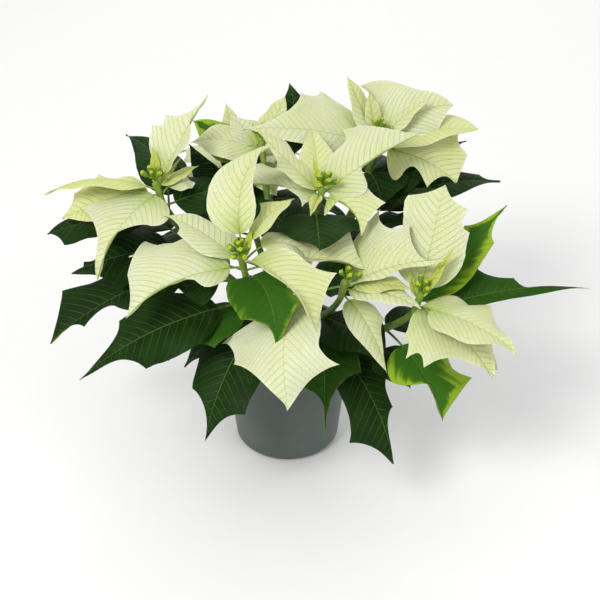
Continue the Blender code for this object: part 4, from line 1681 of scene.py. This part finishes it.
FAR = Head(
    "far", (85, 74, 288), 144,
    bracts=(
        Blade("a", -162, 26, 25, 125, 56, 8, 9, roll=35, lean=-0.3, right=((0.3, 1.7), (0.5, 1.25)),
              tone=0.12, rim=0.1),
        Blade("b", 142, 60, 5, 63, 30, 4, 6, tone=0.3, rim=0.2),
        Blade("c", 119, 70, 0, 44, 18, 4, 6, tone=0.4, rim=0.3),
        Blade("d", 21, 41, 50, 71, 60, 14, 8, roll=-30, left=((0.2, 3.05),), tone=0.1, rim=0.7),
        Blade("e", 14, 42, 10, 55, 28, 6, 4, tone=0.22, rim=0.2),
        Blade("f", 2, 21, 30, 90, 40, 6, 8, roll=-10, left=((0.75, 1.85),), tone=0.36, rim=0.1),
        Blade("g", -17, -1, 40, 72, 65, 12, 10, roll=-35, left=((0.7, 1.45), (0.9, 0.85)),
              right=((0.3, 0.7), (0.7, 0.7)), tone=0.34, rim=0.9),
        Blade("h", 62, 2, 50, 88, 54, 10, 12, tone=0.3, **TOOTHED),
        Blade("i", 112, 10, 45, 80, 50, 10, 10, tone=0.3, **TOOTHED),
    ),
    leaves=(
        Blade("a", 30, 22, 20, 102, 40, 25, 0.75, tone=0.05),
        Blade("b", 12, 27, 40, 125, 46, 30, 0.6, roll=-10, left=((0.85, 0.4),), tone=0.04),
        Blade("c", 1, 33, 24, 67, 46, 12, 0.76, roll=-20, tone=0.03),
        Blade("d", -76, 14, 60, 43, 64, 8, 0.91, tone=0.06),
        Blade("e", -26, 33, 20, 58, 58, 25, 0.5, tone=0.05),
        Blade("f", -15, 32, 14, 68, 34, 25, 0.63, tone=0.05),
        Blade("g", 70, 12, 65, 105, 52, 25, 0.8, tone=0.08, **TOOTHED),
        Blade("h", 30, 12, 65, 95, 52, 25, 0.4, tone=0.1, **TOOTHED),
    ),
)
REAR = Head(
    "rear", (-23, 64, 286), 150,
    bracts=(
        Blade("a", 172, 19, 40, 63, 50, 6, 6, roll=15, tone=0.22, rim=0.1),
        Blade("b", -169, 16, 58, 25, 39, 8, 12, tone=0.1),
        Blade("c", 127, 32, 30, 44, 36, 8, 8, tone=0.12),
        Blade("d", 46, 57, 5, 47, 34, 6, 6, tone=0.22, rim=0.2),
        Blade("e", 121, 46, 0, 23, 8, 4, 6, tone=0.8, rim=0.2),
        Blade("f", 77, -7, 46, 88, 53, 10, 15, roll=-4, tone=0.3, **TOOTHED),
    ),
    leaves=(
        Blade("a", 148, 41, 20, 74, 64, 35, 0.6, roll=20, right=((0.45, 0.3),), tone=0.05),
        Blade("b", 125, 17, 20, 51, 44, 20, 0.85, tone=0.06),
        Blade("c", 37, 46, -1, 73, 40, 25, 0.9, sweep=80, tone=0.06),
        Blade("d", 144, 36, 30, 69, 41, 25, 0.9, roll=21, tone=0.5, rim=0.9),
        Blade("e", 126, 23, 65, 90, 49, 25, 0.59, roll=16, tone=0.1, **TOOTHED),
    ),
)
LOW = Head(
    "low", (51, -75, 222), 134,
    bracts=(
        Blade("a", -17, 38, 30, 96, 74, 6, 5, roll=-35, lean=0.8, left=((0.3, 1.05), (0.6, 0.6)),
              tone=0.14, rim=0.2),
        Blade("b", -145, 15, 108, 107, 80, 41, 5, sweep=95, twist=-39, fold=-5, curl=-14, lean=-0.28,
              left=((0.64, 1.63),), right=((0.34, 1.91), (0.62, 1.13)), tone=0.03, rim=0.2),
        Blade("f", -36, 25, 40, 71, 34, 10, 10, tone=0.18, rim=0.1),
        Blade("g", -22, 24, 28, 50, 30, 12, 6, tone=0.55, rim=0.2),
        Blade("h", -55, -9, 60, 74, 34, 10, 14, left=((0.4, 1.2),), tone=0.16, rim=0.1),
    ),
    leaves=(
        Blade("a", -54, 18, 40, 88, 60, 6, 0.55, roll=-4, tone=0.06),
        Blade("b", -55, -3, 70, 138, 51, 25, 0.36, left=((0.45, 1.05), (0.65, 0.65)), right=((0.75, 1.4),),
              tone=0.05),
        Blade("c", -90, -8, 70, 103, 60, 20, 0.6, left=((0.4, 1.1),), right=((0.55, 0.6),),
              tone=0.26, rim=0.35),
    ),
)
BACK = Head(
    "back", (-45, 122, 236), 126,
    bracts=(
        Blade("a", 75, 12, 50, 90, 52, 8, 10, tone=0.12, rim=0.1, **TOOTHED),
        Blade("b", 140, 16, 50, 84, 50, 8, 8, tone=0.16, rim=0.1, **TOOTHED),
        Blade("c", 200, 14, 45, 69, 44, 8, 11, tone=0.2, rim=0.1, **TOOTHED),
        Blade("d", 11, 12, 50, 65, 50, 8, 9, tone=0.14, rim=0.1, **TOOTHED),
        Blade("e", 110, 50, 10, 60, 26, 8, 5, tone=0.3, rim=0.1),
        Blade("f", -60, 20, 45, 64, 40, 8, 4, roll=-10, tone=0.3, rim=0.1),
    ),
    leaves=(
        Blade("a", 50, 12, 65, 100, 52, 25, 0.7, tone=0.08, **TOOTHED),
        Blade("b", 120, 12, 65, 105, 52, 25, 0.8, tone=0.06, **TOOTHED),
        Blade("c", 175, 17, 65, 100, 52, 25, 0.6, roll=-7, tone=0.1, rim=0.2, **TOOTHED),
        Blade("d", 5, 12, 65, 90, 52, 25, 0.85, tone=0.06, **TOOTHED),
    ),
)
FRONT = Head(
    "front", (-37, -80, 250), 146,
    bracts=(
        Blade("a", 111, 80, 59, 84, 45, 25, 6, sweep=-90, roll=-3, twist=23, fold=30, curl=-31, lean=0.27,
              tone=0.16, rim=0.1),
        Blade("b", 40, 66, 79, 57, 27, 20, 5, sweep=6, roll=16, twist=-2, fold=15, curl=-11, lean=-0.31,
              left=((0.58, 2.07),), tone=0.36, rim=0.1),
        Blade("c", 46, 67, 0, 28, 9, 4, 6, tone=0.95, rim=0.4),
        Blade("d", -164, 6, 55, 101, 62, 12, 12, roll=22, lean=-0.35,
              left=((0.3, 0.5),), right=((0.6, 1.95), (0.8, 0.8)), tone=0.1, rim=0.2),
        Blade("e", 142, 24, 35, 89, 42, 8, 8, left=((0.6, 0.8),), tone=0.14, rim=0.1),
        Blade("f", 160, 11, 35, 98, 40, 14, 17, tone=0.4, rim=0.2),
        Blade("g", -46, 18, 78, 97, 47, 10, 5, sweep=-6, roll=-4, twist=35, fold=28, curl=10, lean=0.08,
              left=((0.64, 1.53),), tone=0.3, rim=0.1),
        Blade("j", 29, 46, 122, 53, 45, 22, 8, sweep=-72, roll=18, twist=-38, fold=17, curl=-52, lean=0.09,
              tone=0.16, rim=0.2),
        Blade("k", 5, 17, 37, 78, 43, 28, 17, sweep=-12, roll=-5, twist=8, fold=32, curl=-4, lean=0.1,
              left=((0.63, 1.3), (0.75, 1.44)), tone=0.2),
    ),
    leaves=(
        # Leaf a's yellow-green margin is painted light: it brightens its lit, translucent lower-left side,
        # while its upper right lies in shade.
        Blade("a", -62, 33, 130, 78, 49, 14, 0.96, sweep=-16, roll=-1, twist=-36, fold=12, curl=10,
              lean=-0.34, left=((0.62, 1.77),), right=((0.65, 0.84),), tone=0.5, rim=0.45),
        Blade("b", 25, 32, 94, 87, 49, 50, 0.3, sweep=2, roll=-54, twist=-7, fold=-15, curl=-47,
              lean=-0.14, tone=0.14),
        Blade("c", 177, 11, 40, 38, 52, 26, 0.85, roll=15, tone=0.1),
        Blade("d", -145, 9, 50, 82, 44, 25, 0.45, roll=10, left=((0.55, 1.05),), tone=0.45, rim=0.3),
        Blade("e", -157, 4, 40, 137, 64, 40, 0.55, roll=20, left=((0.6, 0.95),), right=((0.6, 0.85),),
              tone=0.05),
        Blade("f", -120, -10, 60, 119, 66, 25, 0.35, left=((0.7, 0.95),), right=((0.65, 0.75),),
              tone=0.04),
        Blade("g", -159, -11, 40, 74, 40, 25, 0.3, tone=0.05),
    ),
)
HEADS = (LEFT, FRONT, MIDDLE, RIGHT, FAR, REAR, LOW, BACK)


def stalk_path(blade: Blade, root: Array, thick: float) -> Pair:
    """The petiole of a blade and the rib that it carries on under the blade to its tip.

    Args:
        blade: The leaf or bract.
        root: Where the petiole grows from.
        thick: How stout the stalk is, as a share of a leaf's.

    Returns:
        Points along the stalk and its radius at each.
    """
    spine = Spine(blade, root)
    start = -blade.petiole / blade.length
    petiole = np.linspace(start, SIZES.petiole_end, SIZES.petiole_rows)
    s = np.concatenate([petiole, np.linspace(0.0, SIZES.rib_end, SIZES.rib_rows)])
    point, _, normal = spine.at(s)
    on_blade = np.clip(s, 0.0, 1.0)
    neck = SIZES.stalk_root + (SIZES.stalk_neck - SIZES.stalk_root) * np.clip((s - start) / -start, 0, 1)
    radius = thick * (neck * (1.0 - on_blade) ** SIZES.rib_taper + SIZES.rib_tip * on_blade)
    sink = radius * SIZES.rib_sink * np.clip((s + SIZES.rib_early) / SIZES.rib_ease, 0.0, 1.0)
    groove = SIZES.rib_groove * np.clip(s / SIZES.rib_ease, 0.0, 1.0)
    return point - normal * (sink + groove)[:, None], radius


def blades_mesh(head: Head, growth: Growth, roots: list, material: Material) -> Mesh:
    """The fine mesh of all the leaves, or all the bracts, of one head.

    Args:
        head: The head.
        growth: Which blades.
        roots: Where each of them grows from.
        material: Their finish.

    Returns:
        One mesh.
    """
    blades = head.leaves if growth is Growth.LEAF else head.bracts
    sheets = []
    for blade, root in zip(blades, roots):
        seed = seed_for(head.name, growth.value, blade.name)
        sheets.append(BladeMesh(blade, root, SKINS[growth], seed).build())
    return join_sheets(f"{growth.value}_blades_{head.name}", sheets, material)


@dataclass
class LeafyStem:
    """One stem from the trunk to the hub, with its leaves on their petioles."""

    head: Head
    grower: TubeGrower
    steps: int = 26
    swelling: float = 0.35
    swelling_half: float = 0.03

    def stem_path(self) -> Pair:
        """The stem's axis and its radius, a little swollen where each leaf leaves it.

        Returns:
            Points and radii.
        """
        shares = np.linspace(0.0, 1.0, self.steps)
        points = np.array([self.head.stem_point(u) for u in shares])
        points[0, 2] = min(points[0, 2], SIZES.trunk_top - SIZES.stem_sink)
        radii = SIZES.stem_base + (SIZES.stem_tip - SIZES.stem_base) * shares
        for leaf in self.head.leaves:
            radii = radii + self.swelling * np.exp(-(((shares - leaf.low) / self.swelling_half) ** 2))
        return points, radii

    def build(self, leaf_skin: Material, stalk_skin: Material) -> None:
        """Make the stem and its leaves.

        Args:
            leaf_skin: Finish of the leaves.
            stalk_skin: Finish of the stem, petioles and ribs.
        """
        head = self.head
        node = "leafy_stem_" + head.name
        roots = [head.stem_point(leaf.low) for leaf in head.leaves]
        as_piece("leaf_blades_" + head.name, blades_mesh(head, Growth.LEAF, roots, leaf_skin), node)
        stem = self.grower.grow("stem_rod_" + head.name, [self.stem_path()], SIZES.sides, stalk_skin)
        as_piece("stem_rod_" + head.name, stem, node)
        paths = [stalk_path(leaf, root, 1.0) for leaf, root in zip(head.leaves, roots)]
        stalks = self.grower.grow("petioles_" + head.name, paths, SIZES.stalk_sides, stalk_skin)
        as_piece("petioles_" + head.name, stalks, node)


@dataclass
class BractWhorl:
    """The whorl of cream bracts of one head, on its hub."""

    head: Head
    grower: TubeGrower
    steps: int = 12
    overlap: float = 1.0

    def hub_path(self) -> Pair:
        """The hub's axis and its radius, from inside the stem's end to its crown.

        Returns:
            Points and radii.
        """
        levels = np.linspace(SIZES.hub_length + self.overlap, -SIZES.hub_crown, self.steps)
        points = np.array([self.head.hub_point(below) for below in levels])
        x = np.clip(levels / SIZES.hub_length, 0.0, 1.0)
        radii = SIZES.hub_radius + (SIZES.stem_tip - SIZES.hub_radius) * x**2
        radii[-1] = SIZES.crown_radius
        return points, radii

    def build(self, bract_skin: Material, stalk_skin: Material) -> None:
        """Make the bracts and the hub.

        Args:
            bract_skin: Finish of the bracts.
            stalk_skin: Finish of the hub, the stalks and the ribs.
        """
        head = self.head
        node = "bracts_" + head.name
        roots = [head.hub_point(bract.low) for bract in head.bracts]
        as_piece("bract_blades_" + head.name, blades_mesh(head, Growth.BRACT, roots, bract_skin), node)
        paths = [self.hub_path()]
        paths += [stalk_path(bract, root, SIZES.stalk_share) for bract, root in zip(head.bracts, roots)]
        stalks = self.grower.grow("hub_stalks_" + head.name, paths, SIZES.stalk_sides, stalk_skin)
        as_piece("hub_stalks_" + head.name, stalks, node)


@dataclass(frozen=True)
class Seats:
    """The places that a head's cyathia may take: they wind outwards from the hub's axis."""

    tries: int = 60
    turn: float = 137.5
    lean: float = 12.0
    lean_most: float = 62.0
    foot: float = 4.5
    reach: float = 10.5
    depth: float = 1.6

    def heading(self, head: Head, k: int) -> Array:
        """The way that a seat points.

        Args:
            head: The head.
            k: The seat's number, counted outwards.

        Returns:
            A direction of length one.
        """
        turn = math.radians(self.turn * k)
        lean = math.radians(min(self.lean * math.sqrt(k), self.lean_most))
        axis = head.axis()
        across = unit(np.cross(axis, (0.0, 1.0, 0.0)))
        ahead = np.cross(axis, across)
        aside = math.cos(turn) * across + math.sin(turn) * ahead
        return unit(axis * math.cos(lean) + aside * math.sin(lean))

    def taken(self, head: Head) -> list[Pair]:
        """The seats whose pod lies inside the head's packed cyathia.

        Args:
            head: The head.

        Returns:
            The foot and the direction of each pod.
        """
        node = frame["nodes"]["cyathia_" + head.name]
        solid = BVHTree.FromObject(node, bpy.context.evaluated_depsgraph_get())
        foot = head.hub_point(-self.foot)
        found = []
        for k in range(self.tries):
            heading = self.heading(head, k)
            middle = Vector((foot + heading * self.reach) * MM)
            near, normal, _, distance = solid.find_nearest(middle)
            inside = (middle - near).dot(normal) < 0
            if inside and distance > self.depth * MM:
                found.append((foot, heading))
        return found


@dataclass(frozen=True)
class Gland:
    """The yellow gland that sits on one side of a cup, like a small open mouth."""

    centre: Triple = (2.05, 0.0, 12.6)
    facing: Triple = (1.0, 0.0, 0.8)
    rings: Rows = (
        (0.0, -0.7), (0.75, -0.45), (0.95, 0.1), (0.7, 0.5), (0.35, 0.15),
    )
    breadth: float = 1.25
    sides: int = 7

    def add_to(self, points: list, faces: list, marks: list) -> None:
        """Add the gland to a pod.

        Args:
            points: The pod's points, which grow.
            faces: The pod's faces, which grow.
            marks: The pod's marks, which grow.
        """
        start, sides = len(points), self.sides
        out, up = unit(self.facing), np.array((0.0, 1.0, 0.0))
        third = np.cross(out, up)
        for radius, rise in self.rings:
            for k in range(sides):
                turn = 2 * math.pi * k / sides
                aside = self.breadth * math.cos(turn) * up + math.sin(turn) * third
                points.append(tuple(np.array(self.centre) + out * rise + radius * aside))
                marks.append((1.0, 1.0, 0.0))
        last = start + (len(self.rings) - 1) * sides
        for first in range(start, last, sides):
            for k in range(sides):
                a, b = first + k, first + (k + 1) % sides
                faces.append((a, b, b + sides, a + sides))
        faces.append(tuple(range(last, last + sides)))


@dataclass
class CyathiaCluster:
    """The small green cyathia of one head: cups on short stalks, each with a yellow lip."""

    head: Head
    seats: Seats = Seats()
    gland: Gland = Gland()
    sides: int = 10
    profile: Rows = (
        (0.0, 0.0), (0.75, 0.3), (0.72, 4.5), (0.95, 6.2), (1.9, 7.6), (2.45, 9.4), (2.55, 11.0),
        (2.2, 12.8), (1.55, 14.0), (1.15, 14.5), (0.8, 14.0), (0.0, 13.6),
    )
    cup_top: float = 14.5
    lip_from: float = 13.7
    lobes: int = 5
    lobes_from: float = 7.0
    lobe_reach: float = 0.07
    sizes: tuple[float, float] = (0.88, 1.06)

    def pod(self) -> tuple[list, list, list]:
        """One cyathium, standing on the origin and pointing up.

        Returns:
            Its points, faces and, for each point, height, lip and nothing.
        """
        points, marks, rings = [], [], []
        for radius, height in self.profile:
            start = len(points)
            count = self.sides if radius else 1
            lobe = self.lobe_reach if height > self.lobes_from else 0.0
            lip = 1.0 if height > self.lip_from else 0.0
            for k in range(count):
                turn = 2 * math.pi * k / count
                out = radius * (1.0 + lobe * math.cos(self.lobes * turn))
                points.append((out * math.cos(turn), out * math.sin(turn), height))
                marks.append((height / self.cup_top, lip, 0.0))
            rings.append([start + k % count for k in range(self.sides)])
        faces = ring_faces(rings)
        self.gland.add_to(points, faces, marks)
        return points, faces, marks

    def build(self, scatter: "Scatter", pod_skin: Material) -> None:
        """Stand a pod on every taken seat.

        Args:
            scatter: The tool that copies a shape to places.
            pod_skin: The finish.
        """
        points, faces, marks = self.pod()
        mesh = solid_mesh("one_cyathium", points, faces)
        mesh.attributes.new("pod", "FLOAT_VECTOR", "POINT").data.foreach_set("vector", np.ravel(marks))
        outward(mesh)
        rng = np.random.default_rng(seed_for(self.head.name, "pods"))
        taken = self.seats.taken(self.head)
        seats = [(foot, heading, rng.uniform(*self.sizes)) for foot, heading in taken]
        name = "cyathia_pods_" + self.head.name
        as_piece(name, scatter.copy(name, mesh, seats, pod_skin), "cyathia_" + self.head.name)


@dataclass
class Trunk:
    """The main stem: woody, a little knotted, with the scars of old petioles."""

    grower: TubeGrower
    steps: int = 40
    sides: int = 24
    bark: float = 0.3
    knots: int = 6
    knot: float = 0.45
    knot_half: float = 1.6
    bare_foot: float = 48.0
    taper: float = 4.0

    def build(self, bark: Material) -> None:
        """Make the trunk.

        Args:
            bark: Its finish.
        """
        z = np.linspace(SIZES.trunk_foot, SIZES.trunk_top, self.steps)
        rng = np.random.default_rng(seed_for("trunk"))
        radii = np.full_like(z, SIZES.trunk_radius - self.bark)
        lowest, highest = SIZES.trunk_foot + self.bare_foot, SIZES.trunk_top - self.taper
        for height in rng.uniform(lowest, highest, self.knots):
            radii += self.knot * np.exp(-(((z - height) / self.knot_half) ** 2))
        below = SIZES.trunk_top - z
        tapered = SIZES.stem_base + (radii - SIZES.stem_base) * below / self.taper
        radii = np.where(below < self.taper, tapered, radii)
        points = np.stack([np.zeros_like(z), np.zeros_like(z), z], 1)
        mesh = self.grower.grow("trunk", [(points, radii)], self.sides, bark)
        as_piece("trunk_bark", mesh, "trunk")


# Pot and soil


@dataclass(frozen=True)
class PotFinish(Finish):
    """Moulded grey plastic: a faint orange-peel, flow marks, scuffs and a little dried dust."""

    name: str = "pot_plastic"
    grey: Colour = (0.066, 0.083, 0.075)
    light: Colour = (0.082, 0.101, 0.092)
    dust: Colour = (0.15, 0.16, 0.145)

    def material(self) -> Material:
        """Make the material.

        Returns:
            The finished material.
        """
        tree = ShaderTree(self.name)
        place = tree.object_place()
        flow = tree.patches(place, 14.0, 0.3, 0.7, 3.0)
        base = tree.blend(flow, self.grey, self.light)
        _, _, height = tree.parts(place)
        low = tree.fade(height, 0.0, 0.03, 1.0, 0.0)
        specks = tree.patches(place, 420.0, 0.62, 0.74)
        film = tree.patches(place, 45.0, 0.5, 0.8, 4.0)
        dust = tree.plus(tree.times(film, 0.18), tree.times(specks, 0.22))
        foot = tree.times(tree.times(low, film), 0.3)
        dust = tree.plus(dust, foot, limit=True)
        base = tree.blend(dust, base, self.dust)
        scuffs = tree.patches(tree.stretched(place, (1.0, 1.0, 0.08)), 900.0, 0.66, 0.74)
        base = tree.blend(tree.times(scuffs, 0.25), base, self.dust)
        peel = tree.noise(place, 1400.0, 2.0)
        tree.relief(tree.plus(peel, tree.times(flow, 0.6)), 0.06)
        rough = tree.plus(0.42, tree.times(dust, 0.35))
        return tree.finish(base, roughness=rough, specular_ior_level=0.45)


@dataclass(frozen=True)
class SoilFinish(Finish):
    """Damp peat: dark brown crumbs with fibres and a few pale grains."""

    name: str = "potting_soil"
    dark: Colour = (0.020, 0.012, 0.007)
    brown: Colour = (0.085, 0.050, 0.026)
    grain: Colour = (0.30, 0.24, 0.16)

    def material(self) -> Material:
        """Make the material.

        Returns:
            The finished material.
        """
        tree = ShaderTree(self.name)
        place = tree.object_place()
        base = tree.blend(tree.patches(place, 420.0, 0.35, 0.7, 5.0, 0.7), self.dark, self.brown)
        grains = tree.dots(place, 520.0, 0.06, 0.12)
        base = tree.blend(tree.times(grains, 0.5), base, self.grain)
        tree.relief(tree.noise(place, 700.0, 5.0, 0.75), 0.9)
        return tree.finish(base, roughness=0.92, specular_ior_level=0.2)


@dataclass
class Pot:
    """The tapered pot: rounded heel, rolled lip, a moulded step under it and six drain holes."""

    height: float = 115.0
    top_radius: float = 61.2
    base_radius: float = 49.5
    wall: float = 1.6
    wall_rows: int = 8
    wall_ease: float = 6.0  # how far the straight stretches stay from heel and rim
    floor: float = 2.4
    heel: float = 9.0
    lip_depth: float = 9.0
    lip_reach: float = 3.2
    lip_clear: float = 1.4
    holes: int = 6
    hole_radius: float = 3.5
    hole_ring: float = 30.0
    hole_sides: int = 24
    drill_past: float = 2.0
    flat: float = 20.0
    step: float = 0.5
    step_drop: float = 0.4
    soften: float = 0.9
    rim_round: float = 0.7
    fillet: tuple[float, float] = (3.0, 2.0)
    sides: int = 144
    crisp: float = 40.0

    def radius(self, height: float) -> float:
        """Outer radius of the straight wall at this height."""
        return self.base_radius + (self.top_radius - self.base_radius) * height / self.height

    def profile(self) -> Places:
        """The wall's cross-section, from the middle of the base round to the middle of the floor.

        Returns:
            Pairs of radius and height.
        """
        lip = self.height - self.lip_depth
        out = self.radius(self.height) + self.lip_reach
        edge = self.radius(lip) + self.lip_reach
        inner = self.radius(self.height) - self.wall
        heel_radius = self.radius(self.heel)
        foot = self.base_radius - self.heel
        soft, rim = self.soften, self.rim_round
        rows = [(0.0, 0.0), (self.flat, 0.0), (heel_radius - self.heel - 1.0, 0.0)]
        rows += arc((heel_radius - self.heel, self.heel), self.heel, -90.0, 0.0, 8)
        wall = np.linspace(self.heel + self.wall_ease, lip - self.lip_clear, self.wall_rows)
        rows += [(self.radius(z), z) for z in wall]
        rows += [(self.radius(lip), lip - self.step_drop), (self.radius(lip) + self.step, lip)]
        rows += arc((edge - soft, lip + soft), soft, -90.0, 0.0, 4)
        rows += arc((out - soft, self.height - soft), soft, 0.0, 90.0, 5)
        rows += arc((inner + rim, self.height - rim), rim, 90.0, 180.0, 4)
        inside = np.linspace(self.height - self.wall_ease, self.heel, self.wall_rows)
        rows += [(self.radius(z) - self.wall, z) for z in inside]
        rows += [(foot + self.fillet[0], self.floor + self.fillet[1]), (foot, self.floor)]
        rows += [(self.flat, self.floor), (0.0, self.floor)]
        return rows

    def build(self, plastic: Material) -> None:
        """Make the pot and drill its drain holes.

        Args:
            plastic: Its finish.
        """
        points, faces = lathe(self.profile(), self.sides)
        mesh = solid_mesh("pot_shell", points, faces)
        outward(mesh)
        pot = self.drilled(mesh)
        crisp_edges(pot, self.crisp)
        pot.materials.clear()
        pot.materials.append(plastic)
        as_piece("pot_shell", pot, "pot")

    def drilled(self, mesh: Mesh) -> Mesh:
        """Drill the drain holes.

        Args:
            mesh: The pot with a whole floor.

        Returns:
            The pot with its holes.
        """
        shell = add_object("pot_shell", mesh)
        drills = bpy.data.collections.new("pot_drills")
        bpy.context.scene.collection.children.link(drills)
        for k in range(self.holes):
            drills.objects.link(self.drill(k))
        cut = shell.modifiers.new("drain_holes", "BOOLEAN")
        cut.operation = "DIFFERENCE"
        cut.operand_type = "COLLECTION"
        cut.collection = drills
        cut.solver = "EXACT"
        pot = evaluated(shell)
        pot.name = "pot"
        for obj in list(drills.objects) + [shell]:
            bpy.data.objects.remove(obj, do_unlink=True)
        bpy.data.collections.remove(drills)
        return pot

    def drill(self, k: int) -> Thing:
        """A round cutter for one drain hole.

        Args:
            k: The hole's number.

        Returns:
            The cutter.
        """
        turn = 2 * math.pi * (k + 0.5) / self.holes
        x, y = self.hole_ring * math.cos(turn), self.hole_ring * math.sin(turn)
        foot, top = -self.drill_past, self.floor + self.drill_past
        profile = [(0.0, foot), (self.hole_radius, foot), (self.hole_radius, top), (0.0, top)]
        points, faces = lathe(profile, self.hole_sides)
        mesh = solid_mesh(f"pot_drill_{k}", [(x + px, y + py, z) for px, py, z in points], faces)
        outward(mesh)
        return bpy.data.objects.new(mesh.name, mesh)


@dataclass
class Soil:
    """The potting soil: a filled body with an uneven top, a hole for the trunk and loose crumbs."""

    top: float = 103.0
    rise: float = 3.0
    gap: float = 0.3
    bumps: float = 1.1
    ease: float = 4.0
    rings: int = 26
    sides: int = 96
    side_from: float = 30.0
    side_rows: int = 5
    crisp: float = 50.0
    crumbs: int = 1500
    crumb_size: float = 1.5
    crumb_least: float = 0.3
    crumb_range: tuple[float, float] = (0.35, 1.0)
    crumb_lumps: tuple[float, float] = (0.7, 1.25)
    crumb_lift: float = 0.1

    def reach_at(self, pot: Pot, height: float) -> float:
        """Radius that the soil fills at this height, just clear of the wall."""
        return pot.radius(height) - pot.wall - self.gap

    def surface(self, x: float, y: float, edge: float) -> float:
        """Height of the soil's top: domed, with coarse and fine lumps that end at wall and trunk.

        Args:
            x: Place across.
            y: Place in depth.
            edge: Radius of the soil where it meets the wall.

        Returns:
            The height in millimetres.
        """
        reach = math.hypot(x, y)
        dome = self.rise * (1.0 - reach / edge)
        lumps = math.sin(x * 0.21 + 1.0) * math.sin(y * 0.17) + 0.6 * math.sin(x * 0.5 + y * 0.41 + 2.0)
        fine = 0.35 * math.sin(x * 1.3 + 0.7) * math.sin(y * 1.1 + x * 0.4)
        ease = min((edge - reach) / self.ease, 1.0) * min((reach - SIZES.trunk_radius) / self.ease, 1.0)
        return self.top + dome + self.bumps * (lumps + fine) * max(ease, 0.0)

    def profile(self, pot: Pot) -> Places:
        """The soil's cross-section, from its foot up along the pot and down the trunk's hole.

        Args:
            pot: The pot that it fills.

        Returns:
            Pairs of radius and height.
        """
        foot, hole_foot = pot.floor + self.gap, SIZES.trunk_foot - self.gap
        hole, edge = SIZES.trunk_radius + self.gap, self.reach_at(pot, self.top)
        rows = [(0.0, foot), (pot.base_radius - pot.heel - 1.0, foot)]
        rows += [(self.reach_at(pot, pot.heel) - 0.4, pot.heel + 0.6)]
        side = np.linspace(self.side_from, self.top - 1.0, self.side_rows)
        rows += [(self.reach_at(pot, z), z) for z in side]
        rows += [(reach, self.top) for reach in np.linspace(edge, hole, self.rings)]
        rows += [(hole, hole_foot), (0.0, hole_foot)]
        return rows

    def seats(self, pot: Pot) -> list[tuple[Array, Array, float]]:
        """Random seats for the crumbs on the soil's top.

        Args:
            pot: The pot that it fills.

        Returns:
            The place, direction and size of each crumb.
        """
        rng = np.random.default_rng(seed_for("crumbs"))
        edge = self.reach_at(pot, self.top)
        inner = SIZES.trunk_radius + self.gap + self.crumb_size
        outer = edge - self.crumb_size
        seats = []
        while len(seats) < self.crumbs:
            reach = math.sqrt(rng.uniform(inner**2, outer**2))
            turn = rng.uniform(0.0, 2 * math.pi)
            x, y = reach * math.cos(turn), reach * math.sin(turn)
            place = np.array((x, y, self.surface(x, y, edge) + self.crumb_lift))
            heading = unit(rng.normal(size=3))
            size = rng.uniform(*self.crumb_range) ** 2 * self.crumb_size + self.crumb_least
            seats.append((place, heading, size))
        return seats

    def build(self, pot: Pot, soil_skin: Material, scatter: Scatter) -> None:
        """Make the soil and strew its crumbs.

        Args:
            pot: The pot that it fills.
            soil_skin: Its finish.
            scatter: The tool that copies a shape to places.
        """
        edge = self.reach_at(pot, self.top)
        points, faces = lathe(self.profile(pot), self.sides)
        shaped = [(x, y, self.surface(x, y, edge) if z == self.top else z) for x, y, z in points]
        mesh = solid_mesh("soil_body", shaped, faces)
        outward(mesh)
        crisp_edges(mesh, self.crisp)
        mesh.materials.append(soil_skin)
        as_piece("soil_body", mesh, "soil")
        crumbs = scatter.copy("soil_crumbs", self.crumb(), self.seats(pot), soil_skin)
        as_piece("soil_crumbs", crumbs, "soil")

    def crumb(self) -> Mesh:
        """One lumpy crumb of a few faces.

        Returns:
            Its mesh, about one millimetre across.
        """
        mesh = bpy.data.meshes.new("one_crumb")
        bm = bmesh.new()
        bmesh.ops.create_icosphere(bm, subdivisions=1, radius=0.5 * MM)
        rng = np.random.default_rng(seed_for("crumb"))
        for vertex in bm.verts:
            vertex.co *= rng.uniform(*self.crumb_lumps)
        bm.to_mesh(mesh)
        bm.free()
        return mesh


def main() -> None:
    """Build the scene: camera, studio, then the plant's pieces from the soil up."""
    logging.basicConfig(level=logging.INFO, format="%(message)s")
    PhotoCamera().build()
    Studio().build()
    grower, scatter = TubeGrower(), Scatter()
    pot = Pot()
    pot.build(PotFinish().material())
    Soil().build(pot, SoilFinish().material(), scatter)
    Trunk(grower).build(BarkFinish().material())
    leaf_skin = LeafFinish().material()
    bract_skin = BractFinish().material()
    stem_skin = StalkFinish("stem_skin").material()
    hub_skin = HUB_FINISH.material()
    pod_skin = PodFinish().material()
    for head in HEADS:
        LeafyStem(head, grower).build(leaf_skin, stem_skin)
        BractWhorl(head, grower).build(bract_skin, hub_skin)
        CyathiaCluster(head).build(scatter, pod_skin)


if __name__ == "__main__":
    main()
